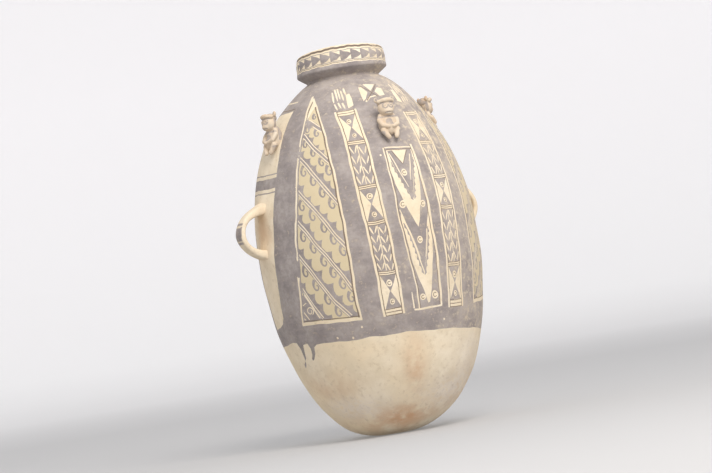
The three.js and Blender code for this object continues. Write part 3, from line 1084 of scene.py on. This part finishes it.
# rosy clouds from the fire; the spot at azimuth -95, on the wall behind the left handle, is rosy-brown
# painted shade
ROSY_AND_SHADED_SPOTS = (
    (0.6, -12, 120, 7, 45), (0.35, -75, 100, 24, 26), (0.7, -20, 34, 26, 18), (0.4, -95, 395, 12, 46),
    (0.4, 60, 60, 40, 40), (0.35, -40, 20, 60, 22), (0.4, 56, 410, 8, 30),
)
CHALK_SPOTS = ((0.8, 22, 66, 26, 26), (0.8, -60, 58, 26, 20), (0.5, 34, 120, 14, 40))
MONKEY_SPOTS = ((0.8, -94, 612, 12, 12), (0.8, 90, 600, 12, 14))


def soft_spots(spots, azimuth, height):
    total = np.zeros(len(azimuth))
    for strength, middle, level, half_azimuth, half_height in spots:
        aside = ((azimuth - middle + 180) % 360 - 180) / half_azimuth
        total += strength * np.exp(-(aside**2) - ((height - level) / half_height) ** 2)
    return total


def wear_and_painted_light_masks(azimuth, height):
    # the dark paint is paler towards the right, as painted light where the light falls; it is rubbed on
    # the shoulder and kept crisp on the collar
    rubbed_and_painted_light = 0.25 + 0.45 * ease(-10, 40, azimuth) * ease(110, 70, azimuth)
    rubbed_and_painted_light = rubbed_and_painted_light + 0.15 * ease(560, 640, height) - 0.3 * ease(655, 668, height)
    rubbed_and_painted_light = rubbed_and_painted_light + soft_spots(RUBBED_AND_SHADED_SPOTS, azimuth, height)
    rosy_and_painted_shade, chalk = (soft_spots(spots, azimuth, height) for spots in (ROSY_AND_SHADED_SPOTS, CHALK_SPOTS))
    return [np.clip(mask, 0, 1) for mask in (rubbed_and_painted_light, rosy_and_painted_shade, chalk)]


# %% Make the body mesh
def make_mesh(name, points, faces):
    mesh = bpy.data.meshes.new(name)
    mesh.from_pydata((points * MM).tolist(), [], faces.tolist())
    mesh.shade_smooth()
    return mesh


def set_attribute(mesh, name, kind, domain, values):
    attribute = mesh.attributes.new(name, kind, domain)
    field = {"FLOAT_COLOR": "color", "FLOAT_VECTOR": "vector"}.get(kind, "value")
    attribute.data.foreach_set(field, np.ascontiguousarray(values, np.float32).ravel())


def set_masks(mesh, rubbed_and_painted_light, rosy_and_painted_shade, chalk):
    values = np.stack([rubbed_and_painted_light, rosy_and_painted_shade, chalk, np.ones_like(rubbed_and_painted_light)], -1)
    set_attribute(mesh, "wear", "FLOAT_COLOR", "POINT", values)


def set_dark_paint_and_shade(mesh, share):
    """How much dark paint each point of a mesh has; on the monkeys it also holds painted shade."""
    none = np.zeros_like(share)
    set_attribute(mesh, "paint", "FLOAT_COLOR", "POINT", np.stack([share, none, none, none + 1], -1))


body_mesh = make_mesh("jar_body", body_points, body_faces)
corner_paint = np.repeat(np.c_[body_paint, np.ones(len(body_paint))], 3, axis=0)
set_attribute(body_mesh, "paint", "FLOAT_COLOR", "CORNER", corner_paint)
body_heights = np.interp(places[:, 1], skin_reach, skin_line[:, 1])
set_masks(body_mesh, *wear_and_painted_light_masks(places[:, 0], body_heights))
inside_share = (places[:, 1] > skin_reach[lip_top] + 6).astype(float)
set_attribute(body_mesh, "bare", "FLOAT", "POINT", inside_share)
set_attribute(body_mesh, "facing", "FLOAT_VECTOR", "POINT", body_normals)
weld = bmesh.new()
weld.from_mesh(body_mesh)
seam = [v for v in weld.verts if abs(abs(places[v.index, 0]) - FULL) < 1e-4]
bmesh.ops.remove_doubles(weld, verts=seam, dist=2e-5)
open_edges = sum(1 for e in weld.edges if len(e.link_faces) != 2)
weld.to_mesh(body_mesh)
weld.free()
facing = np.zeros(len(body_mesh.vertices) * 3, np.float32)
body_mesh.attributes["facing"].data.foreach_get("vector", facing)
body_mesh.attributes.remove(body_mesh.attributes["facing"])
body_mesh.shade_smooth()
body_mesh.normals_split_custom_set_from_vertices(facing.reshape(-1, 3).tolist())
jar_body = put("jar_body", body_mesh)
print("open edges after the seam is welded:", open_edges)

# %% [markdown]
# ## Finish
# The finish is a chalky slip and a thin mineral paint on low-fired earthenware: matt, with a grit of
# about half a millimetre and brush streaks that run round the jar. The paint's colour comes from the
# mesh's paint attribute, and noise of several sizes makes it thin, rubbed and mottled where the wear
# masks say so. The same masks also paint light and shade: paler paint on the lit right, fuller paint
# on the shaded far left and rosy-brown shade behind the left handle. On the monkeys the dark share of
# the paint attribute holds painted shade as well.

# %% Painted earthenware
def painted_earthenware():
    material = bpy.data.materials.new("painted_earthenware")
    material.use_nodes = True
    tree = material.node_tree
    shader = tree.nodes["Principled BSDF"].inputs
    place = add_node(tree, "ShaderNodeTexCoord").outputs["Object"]

    def grain(size_mm, detail=4.0, roughness=0.6, stretch=(1, 1, 1), shift=0.0):
        moved = {"Vector": place, "Scale": stretch, "Location": (shift,) * 3}
        mapped = add_node(tree, "ShaderNodeMapping", moved).outputs[0]
        inputs = {"Vector": mapped, "Scale": 1000 / size_mm, "Detail": detail, "Roughness": roughness}
        return add_node(tree, "ShaderNodeTexNoise", inputs).outputs["Fac"]

    def between(value, low, high, to_low=0.0, to_high=1.0):
        values = {"Value": value, "From Min": low, "From Max": high}
        values |= {"To Min": to_low, "To Max": to_high}
        return add_node(tree, "ShaderNodeMapRange", values, interpolation_type="SMOOTHSTEP").outputs[0]

    def times(first, second, clamp=False):
        return maths(tree, "MULTIPLY", first, second, clamp=clamp)

    def plus(first, second):
        return maths(tree, "ADD", first, second)

    def mixed(factor, first, second):
        first, second = (linear(c) if isinstance(c, str) else c for c in (first, second))
        values = {0: factor, 6: first, 7: second}
        return add_node(tree, "ShaderNodeMix", values, data_type="RGBA").outputs[2]

    def channels(name):
        stored = add_node(tree, "ShaderNodeAttribute", attribute_name=name).outputs["Color"]
        return add_node(tree, "ShaderNodeSeparateColor", {"Color": stored}).outputs

    paint, wear = channels("paint"), channels("wear")
    bare = add_node(tree, "ShaderNodeAttribute", attribute_name="bare").outputs["Fac"]
    clouds, patches, mottle = grain(130, 3), grain(34, 4, shift=3), grain(9, 5, 0.65, shift=7)
    specks, grit = grain(2.6, 4, 0.7), grain(1.1, 3, 0.7, shift=5)
    streaks = grain(16, 4, 0.7, (0.35, 0.35, 2.6))
    # slip: cream, warmer in large clouds, with rosy and chalky places, and rosy-brown painted shade
    # behind the left handle
    slip = mixed(between(clouds, 0.35, 0.65), "#e4d2b4", "#eaddc6")
    slip = mixed(between(patches, 0.3, 0.72, 0, 0.7), slip, "#dacbae")
    slip = mixed(times(wear["Green"], between(patches, 0.3, 0.62), True), slip, "#cf9f78")
    slip = mixed(times(wear["Blue"], between(mottle, 0.3, 0.6), True), slip, "#e6dcd0")
    slip = mixed(between(mottle, 0.5, 0.78, 0, 0.5), slip, "#b9a487")
    slip = mixed(times(paint["Green"], 0.85), slip, "#c9ba98")
    # dark paint: a thin grey-brown, purplish where it is thick
    dark = mixed(between(patches, 0.3, 0.7), "#8c8482", "#a69e9a")
    dark = mixed(between(mottle, 0.35, 0.7, 0, 0.5), dark, "#746d6e")
    dark = mixed(between(streaks, 0.45, 0.75, 0, 0.4), dark, "#a69d96")
    # how much of it is left, where the mottle, the wear and the specks haven't rubbed it off; the same
    # mask makes it paler on the lit right and fuller on the shaded far left, as painted light and shade
    rub_and_painted_light = plus(mottle, times(wear["Red"], 0.22))
    rub_and_painted_light = plus(rub_and_painted_light, times(maths(tree, "SUBTRACT", specks, 0.5), 0.2))
    left = between(rub_and_painted_light, 0.59, 0.88, 1.0, 0.25)
    # on the monkeys this dark also stands as painted shade in creases and on sides turned from the light
    colour = mixed(times(paint["Red"], left), slip, dark)
    colour = mixed(times(paint["Blue"], left), colour, "#74665a")
    # a veil of rubbed slip where the paint is worn, which on the right is painted light, bare clay
    # inside, and dark specks
    veil_and_painted_light = times(wear["Red"], between(patches, 0.3, 0.7, 0.1, 0.42), True)
    colour = mixed(veil_and_painted_light, colour, "#cbb9a4")
    colour = mixed(bare, colour, mixed(mottle, "#a88a6c", "#bda184"))
    colour = mixed(between(specks, 0.62, 0.8, 0, 0.35), colour, "#6f6252")
    tree.links.new(colour, shader["Base Color"])
    tree.links.new(between(mottle, 0.3, 0.7, 0.8, 0.95), shader["Roughness"])
    shader["Specular IOR Level"].default_value = 0.35
    height = plus(times(grit, 0.5), plus(specks, times(streaks, 1.2)))
    bump = add_node(tree, "ShaderNodeBump", {"Height": height, "Strength": 0.35, "Distance": 0.0006})
    tree.links.new(bump.outputs[0], shader["Normal"])
    return material


earthenware = painted_earthenware()
body_mesh.materials.append(earthenware)
print("material nodes:", len(earthenware.node_tree.nodes))

# %% [markdown]
# ## Handles
# Each handle is a strap of clay, rolled flat, bent into an arch and pressed on, so it is thin at the
# crown and thickens where it was smeared to the wall. A rounded section that follows an arched line is
# what Geometry Nodes' Curve to Mesh is for. The line's own place and its share along the arch are
# captured first, so that the section can be thickened towards both ends afterwards.

# %% The strap handle's node tree
# half an ellipse, and the strap's section, in millimetres
STRAP_REACH, STRAP_HALF_SPAN, STRAP_WIDTH, STRAP_THICKNESS = 42.5, 39.5, 31, 9
STRAP_BURIED, STRAP_ROUND = 5, 3.6


def new_tree(name, sizes, base=None):
    """A node tree with an input for each size, and one for geometry if it starts from a base mesh."""
    tree = bpy.data.node_groups.new(name, "GeometryNodeTree")
    if base:
        tree.interface.new_socket(base, in_out="INPUT", socket_type="NodeSocketGeometry")
    for label, value in sizes:
        size = tree.interface.new_socket(label, in_out="INPUT", socket_type="NodeSocketFloat")
        size.default_value = value
    tree.interface.new_socket("Geometry", in_out="OUTPUT", socket_type="NodeSocketGeometry")
    return tree, add_node(tree, "NodeGroupInput").outputs


def finish_tree(tree, geometry, material):
    real = add_node(tree, "GeometryNodeRealizeInstances", {"Geometry": geometry}).outputs[0]
    done = add_node(tree, "GeometryNodeSetMaterial", {"Geometry": real, "Material": material})
    add_node(tree, "NodeGroupOutput", {"Geometry": done.outputs[0]})
    return tree


def strap_tree(material):
    sizes = (
        ("Reach", STRAP_REACH * MM), ("Half span", STRAP_HALF_SPAN * MM), ("Buried", STRAP_BURIED * MM),
        ("Width", STRAP_WIDTH * MM), ("Thickness", STRAP_THICKNESS * MM),
        ("Root thickening", 1.5), ("Root widening", 0.35),
    )
    tree, given = new_tree("strap_handle", sizes)
    half_turn = {"Resolution": 65, "Radius": 1.0, "Start Angle": -math.pi / 2, "Sweep Angle": math.pi}
    arc = add_node(tree, "GeometryNodeCurveArc", half_turn, mode="RADIUS").outputs["Curve"]
    deep = maths(tree, "ADD", given["Reach"], given["Buried"])
    size = add_node(tree, "ShaderNodeCombineXYZ", {"X": deep, "Y": given["Half span"], "Z": 1.0})
    inward = maths(tree, "MULTIPLY", given["Buried"], -1.0)
    start = add_node(tree, "ShaderNodeCombineXYZ", {"X": inward})
    stretched = {"Geometry": arc, "Translation": start.outputs[0], "Scale": size.outputs[0]}
    arch = add_node(tree, "GeometryNodeTransform", stretched)
    upright = add_node(tree, "GeometryNodeSetCurveNormal", {"Curve": arch.outputs[0]}, mode="Z_UP")
    capture = add_node(tree, "GeometryNodeCaptureAttribute", domain="POINT")
    capture.capture_items.new("VECTOR", "Centre")
    capture.capture_items.new("FLOAT", "Share")
    for socket, source in (
        ("Geometry", upright.outputs[0]),
        ("Centre", add_node(tree, "GeometryNodeInputPosition").outputs[0]),
        ("Share", add_node(tree, "GeometryNodeSplineParameter").outputs["Factor"]),
    ):
        tree.links.new(source, capture.inputs[socket])
    centre = capture.outputs["Centre"]
    flat = {"Width": given["Thickness"], "Height": given["Width"]}
    section = add_node(tree, "GeometryNodeCurvePrimitiveQuadrilateral", flat).outputs[0]
    rounded = {"Curve": section, "Count": 4, "Radius": STRAP_ROUND * MM}
    section = add_node(tree, "GeometryNodeFilletCurve", rounded, mode="POLY").outputs[0]
    section = add_node(tree, "GeometryNodeResampleCurve", {"Curve": section, "Count": 44}).outputs[0]
    swept = {"Curve": capture.outputs["Geometry"], "Profile Curve": section, "Fill Caps": True}
    strap = add_node(tree, "GeometryNodeCurveToMesh", swept).outputs[0]
    # how near the root: 0 at the crown, 1 where the strap enters the wall
    twice = maths(tree, "MULTIPLY_ADD", capture.outputs["Share"], 2.0, -1.0)
    near_root = maths(tree, "ABSOLUTE", twice)
    thick, wide = (
        maths(tree, "MULTIPLY_ADD", maths(tree, "POWER", near_root, power), given[growth], 1.0)
        for power, growth in ((3.0, "Root thickening"), (7.0, "Root widening"))
    )
    growth = add_node(tree, "ShaderNodeCombineXYZ", {"X": thick, "Y": thick, "Z": wide}).outputs[0]
    here = add_node(tree, "GeometryNodeInputPosition").outputs[0]
    off = add_node(tree, "ShaderNodeVectorMath", {0: here, 1: centre}, operation="SUBTRACT").outputs[0]
    terms = {0: off, 1: growth, 2: centre}
    grown = add_node(tree, "ShaderNodeVectorMath", terms, operation="MULTIPLY_ADD").outputs[0]
    shaped = add_node(tree, "GeometryNodeSetPosition", {"Geometry": strap, "Position": grown})
    return finish_tree(tree, shaped.outputs[0], material)


def plain_mesh(name, carrier):
    """The mesh of an object with its modifiers worked in. The object goes."""
    graph = bpy.context.evaluated_depsgraph_get()
    ready = carrier.evaluated_get(graph)
    mesh = bpy.data.meshes.new_from_object(ready, preserve_all_data_layers=True, depsgraph=graph)
    carrier.modifiers.clear()
    bpy.data.objects.remove(carrier)
    mesh.name = name
    return mesh


def grown_mesh(name, base, tree):
    """The plain mesh that a node tree makes of a base mesh."""
    carrier = put(name + "_carrier", base)
    carrier.modifiers.new("nodes", "NODES").node_group = tree
    return plain_mesh(name, carrier)


def mesh_points(mesh):
    points = np.zeros(len(mesh.vertices) * 3, np.float32)
    mesh.vertices.foreach_get("co", points)
    return points.reshape(-1, 3).astype(float)


handle_tree = strap_tree(earthenware)

# %% Bend, place and paint the handles
def frame_at(azimuth, height, lean=0.0):
    """Sideways, outward and up at a place on the wall in millimetres, leaned back by some degrees."""
    turn, tip = math.radians(azimuth), math.radians(lean)
    out = np.array([math.sin(turn), -math.cos(turn), 0])
    up = np.array([0, 0, 1.0])
    side = np.array([-math.cos(turn), -math.sin(turn), 0])
    chest = out * math.cos(tip) + up * math.sin(tip)
    spine = up * math.cos(tip) - out * math.sin(tip)
    origin = out * float(body_radius(height)) + up * height
    return origin, side, chest, spine


# the dark belt on a handle and the fine lines beside it, in millimetres from the middle of the strap
BELT_MIDDLE, BELT_HALF, LINE_AWAY, LINE_HALF, FACE_HALF = 3, 12, 17, 1.8, 13.4


def place_handle(azimuth):
    name = "handle_left" if azimuth < 0 else "handle_right"
    mesh = grown_mesh(name, bpy.data.meshes.new("nothing"), handle_tree)
    reach, rise, across = (mesh_points(mesh) / MM).T
    near_wall = ease(17, -2, reach)
    # pressed and smeared: the ends spread on the wall, the edges are a little uneven
    across = across + 0.5 * np.sin(rise / 9 + azimuth) + near_wall * across * 0.42
    reach = reach + 0.35 * np.sin(rise / 7 + across / 6) - near_wall * 7 * (across / 20) ** 2
    rise = rise + 0.4 * np.sin(across / 8 + 1) + near_wall * np.sign(rise) * 2.5
    origin, side, out, up = frame_at(azimuth, HANDLE_HEIGHT)
    drop = across**2 / (2 * BELLY)
    points = origin + np.outer(reach - drop, out) + np.outer(rise, up) + np.outer(across, side)
    mesh.vertices.foreach_set("co", (hand_built(points) * MM).ravel())
    # a dark belt round the strap's face, between fine lines
    face = (np.hypot(reach / STRAP_REACH, rise / STRAP_HALF_SPAN) > 1) & (np.abs(across) < FACE_HALF)
    off = np.abs(rise - BELT_MIDDLE)
    set_dark_paint_and_shade(mesh, (face & ((off < BELT_HALF) | (np.abs(off - LINE_AWAY) < LINE_HALF))).astype(float))
    set_masks(mesh, np.full(len(points), 0.45), 0.3 * near_wall, np.zeros(len(points)))
    mesh.shade_smooth()
    print(mesh.name, len(mesh.polygons), "faces")
    return put(mesh.name, mesh)


handles = [place_handle(azimuth) for azimuth in HANDLE_AZIMUTHS]

# %% [markdown]
# ## Monkeys
# Four small monkeys sit round the shoulder, hands on their bellies. Each was pinched up from balls and
# rolls of clay. Here the balls and rolls are joined by a voxel remesh, which is the quickest way to one
# skin of clay, then smoothed, and the eyes and mouth are pressed in by moving points. One monkey is
# modelled, and a small node tree sets it round the shoulder.

# %% Clay for one monkey
EYE_ASIDE, EYE_HEIGHT = 6.2, 57.5
# the share of dark paint that is left all over a monkey
THIN_PAINT = 0.3


def ball(clay, centre, radii):
    made = bmesh.ops.create_uvsphere(clay, u_segments=24, v_segments=16, radius=1)["verts"]
    matrix = Matrix.Translation(centre) @ Matrix.Diagonal((*radii, 1))
    bmesh.ops.transform(clay, matrix=matrix, verts=made)


def roll(clay, points, radii):
    """A roll of clay through points: balls close together along a smooth line."""
    points, radii = np.array(points, float), np.array(radii, float)
    knots = np.linspace(0, 1, len(points))
    for share in np.linspace(0, 1, 6 * (len(points) - 1) + 1):
        middle = [float(np.interp(share, knots, points[:, i])) for i in range(3)]
        thick = float(np.interp(share, knots, radii))
        ball(clay, middle, (thick, thick, thick))


def monkey_mesh():
    """In millimetres: x sideways, y outward from the wall, z up from the seat."""
    clay = bmesh.new()
    for centre, radii in (
        ((0, -5, 25), (17, 15, 26)),
        ((0, 2, 16), (15, 12, 15)),
        ((0, 4.5, 54), (16.5, 13, 16)),
        ((0, 1, 64), (15.5, 12.5, 10)),
        ((0, 11, 47.5), (10.5, 8, 7.5)),
    ):
        ball(clay, centre, radii)
    for side in (-1, 1):
        # ear, brow over the eye, arm and leg
        ball(clay, (side * 16.5, 0, 71), (4, 3.4, 5.2))
        ball(clay, (side * EYE_ASIDE, 13.6, EYE_HEIGHT), (4.6, 3.8, 4.4))
        arm = [(side * 12, -1, 40), (side * 18, 4, 31), (side * 15.5, 10.5, 21), (side * 5, 13.5, 17.5)]
        roll(clay, arm, [5.2, 5, 4.4, 4.2])
        leg = [(side * 9, 2, 12), (side * 14.5, 8, 11), (side * 11, 11, 3), (side * 8, 14, -3)]
        roll(clay, leg, [6.5, 5.8, 5, 4.4])
    cap_edge = [(-14.5, 7, 66.5), (-7, 13.6, 68), (0, 15, 68.6), (7, 13.6, 68), (14.5, 7, 66.5)]
    roll(clay, cap_edge, [4, 4.2, 4.2, 4.2, 4])
    mesh = bpy.data.meshes.new("monkey_clay")
    clay.to_mesh(mesh)
    clay.free()
    mesh.transform(Matrix.Scale(MM, 4))
    carrier = put("monkey_clay", mesh)
    remesh = carrier.modifiers.new("one_skin", "REMESH")
    remesh.mode = "VOXEL"
    remesh.voxel_size = 0.9 * MM
    soften = carrier.modifiers.new("thumbed", "SMOOTH")
    soften.factor = 0.5
    soften.iterations = 5
    return plain_mesh("monkey_skin", carrier)


def ellipsoid(points, centre, radii):
    """Below 1 inside an ellipsoid and above 1 outside."""
    return np.sum(((points - np.array(centre)) / np.array(radii)) ** 2, axis=1)


def press(points, centre, radii, depth):
    """Pushes points inward near a centre, as the end of a stick does."""
    points[:, 1] -= depth * np.exp(-ellipsoid(points, centre, radii))


def near(points, centre, radii):
    return ellipsoid(points, centre, radii) < 1


def dark_paint_and_shade(points):
    """Which points of a monkey are dark, with dark paint and with painted shade."""
    aside, outward_by, height = np.abs(points[:, 0]), points[:, 1], points[:, 2]
    # Dark paint: the eye rings, pupils, ears and cap; the mouth line is dark as well. Painted shade:
    # under the head, under the brow, on the back against the wall, on the sides of the head, on the
    # belly between the arms and on the outer sides of the feet.
    front = outward_by > 4
    shaded_feet = (height < 9) & (aside > 15)
    mouth = front & (np.abs(height - 44) < 1.2) & (aside < 8)
    shaded_belly = front & near(points, (0, 17, 28), (12, 11, 8))
    cap = (height > 70.5) & (outward_by < 9) & (aside < 13)
    shade_under_head = (np.abs(height - 37) < 2.2) & (outward_by > 2)
    shade_under_brow = front & (np.abs(height - 63) < 1.6) & (aside < 14)
    back = (outward_by < -4) & (height > 20)
    shaded_cheeks = (aside > 12.5) & (outward_by < 3) & (height > 44) & (height < 66)
    dark = shaded_feet | mouth | shaded_belly | cap | shade_under_head | shade_under_brow | back | shaded_cheeks
    for side in (-1, 1):
        eye = (side * EYE_ASIDE, 16.5, EYE_HEIGHT)
        ring = near(points, eye, (6.6, 7, 6)) & ~near(points, eye, (3.4, 7, 3.4))
        pupil = near(points, (side * EYE_ASIDE, 17, EYE_HEIGHT), (1.7, 7, 1.7))
        ear = near(points, (side * 16.5, 3, 72), (2.4, 4, 3.4))
        dark |= (front & (ring | pupil) & (height > 51)) | ear
    return dark


def model_monkey():
    mesh = monkey_mesh()
    points = mesh_points(mesh) / MM
    for side in (-1, 1):
        # eye, nostril and the gaps between the toes
        press(points, (side * EYE_ASIDE, 17.4, EYE_HEIGHT), (2.1, 6, 2.1), 1.8)
        press(points, (side * 3, 19, 49.5), (1.3, 4, 1.2), 1.0)
        for toe in range(3):
            press(points, (side * (5.6 + 2.6 * toe), 18.3, -3), (0.7, 8, 4), 0.9)
    # mouth, and the gap between the hands
    press(points, (0, 18.5, 44), (8.5, 6, 1.3), 2.0)
    press(points, (0, 19, 21), (0.9, 9, 5), 0.8)
    mesh.vertices.foreach_set("co", (points * MM).ravel())
    # dark paint and painted shade, over a thin wash of dark paint everywhere else
    dark = dark_paint_and_shade(points)
    set_dark_paint_and_shade(mesh, np.where(dark, 1.0, THIN_PAINT))
    print("one monkey:", len(mesh.polygons), "faces,", int(dark.sum()), "points in dark paint")
    return mesh


one_monkey = model_monkey()

# %% Set the monkeys round the shoulder
def shoulder_tree(monkey, material):
    sizes = [("Size", MONKEY_HEIGHT / MODELLED_HEIGHT)]
    tree, given = new_tree("monkeys_round_the_shoulder", sizes, base="Seats")
    figure = add_node(tree, "GeometryNodeObjectInfo", {"Object": monkey}, transform_space="ORIGINAL")
    stored = add_node(
        tree, "GeometryNodeInputNamedAttribute", {"Name": "facing"}, data_type="FLOAT_VECTOR"
    )
    turned = add_node(tree, "FunctionNodeEulerToRotation", {"Euler": stored.outputs["Attribute"]})
    placed = add_node(tree, "GeometryNodeInstanceOnPoints", {
        "Points": given["Seats"], "Instance": figure.outputs["Geometry"],
        "Rotation": turned.outputs[0], "Scale": given["Size"],
    })
    return finish_tree(tree, placed.outputs[0], material)


def seat_points():
    """One point for each monkey's seat, with the turn that faces it outward and leans it back."""
    places, turns = [], []
    for azimuth, seat in MONKEYS:
        origin, side, chest, spine = frame_at(azimuth, seat, MONKEY_LEAN)
        places.append(hand_built(origin[None])[0] * MM)
        turns.append(Matrix((side, chest, spine)).transposed().to_euler("XYZ")[:])
    mesh = bpy.data.meshes.new("seats")
    mesh.from_pydata([tuple(p) for p in places], [], [])
    set_attribute(mesh, "facing", "FLOAT_VECTOR", "POINT", np.array(turns))
    return mesh


figure = put("one_monkey", one_monkey)
monkeys_mesh = grown_mesh("shoulder_monkeys", seat_points(), shoulder_tree(figure, earthenware))
bpy.data.objects.remove(figure)
where = mesh_points(monkeys_mesh) / MM
azimuths = np.degrees(np.arctan2(where[:, 0], -where[:, 1]))
rosy_and_painted_shade = np.clip(soft_spots(MONKEY_SPOTS, azimuths, where[:, 2]) + 0.25, 0, 1)
set_masks(monkeys_mesh, np.full(len(where), 0.75), rosy_and_painted_shade, np.zeros(len(where)))
monkeys_mesh.shade_smooth()
monkeys = put("shoulder_monkeys", monkeys_mesh)
print("monkeys:", len(monkeys_mesh.polygons), "faces")

# %% [markdown]
# ## Riding on the part
# All the pieces were fired as one, so they ride on the one body and stand in for the part's one node,
# which is hidden. They share one material.

# %% Ride and replace
for piece in [jar_body, *handles, monkeys]:
    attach(piece, "root")
    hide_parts("amphora")
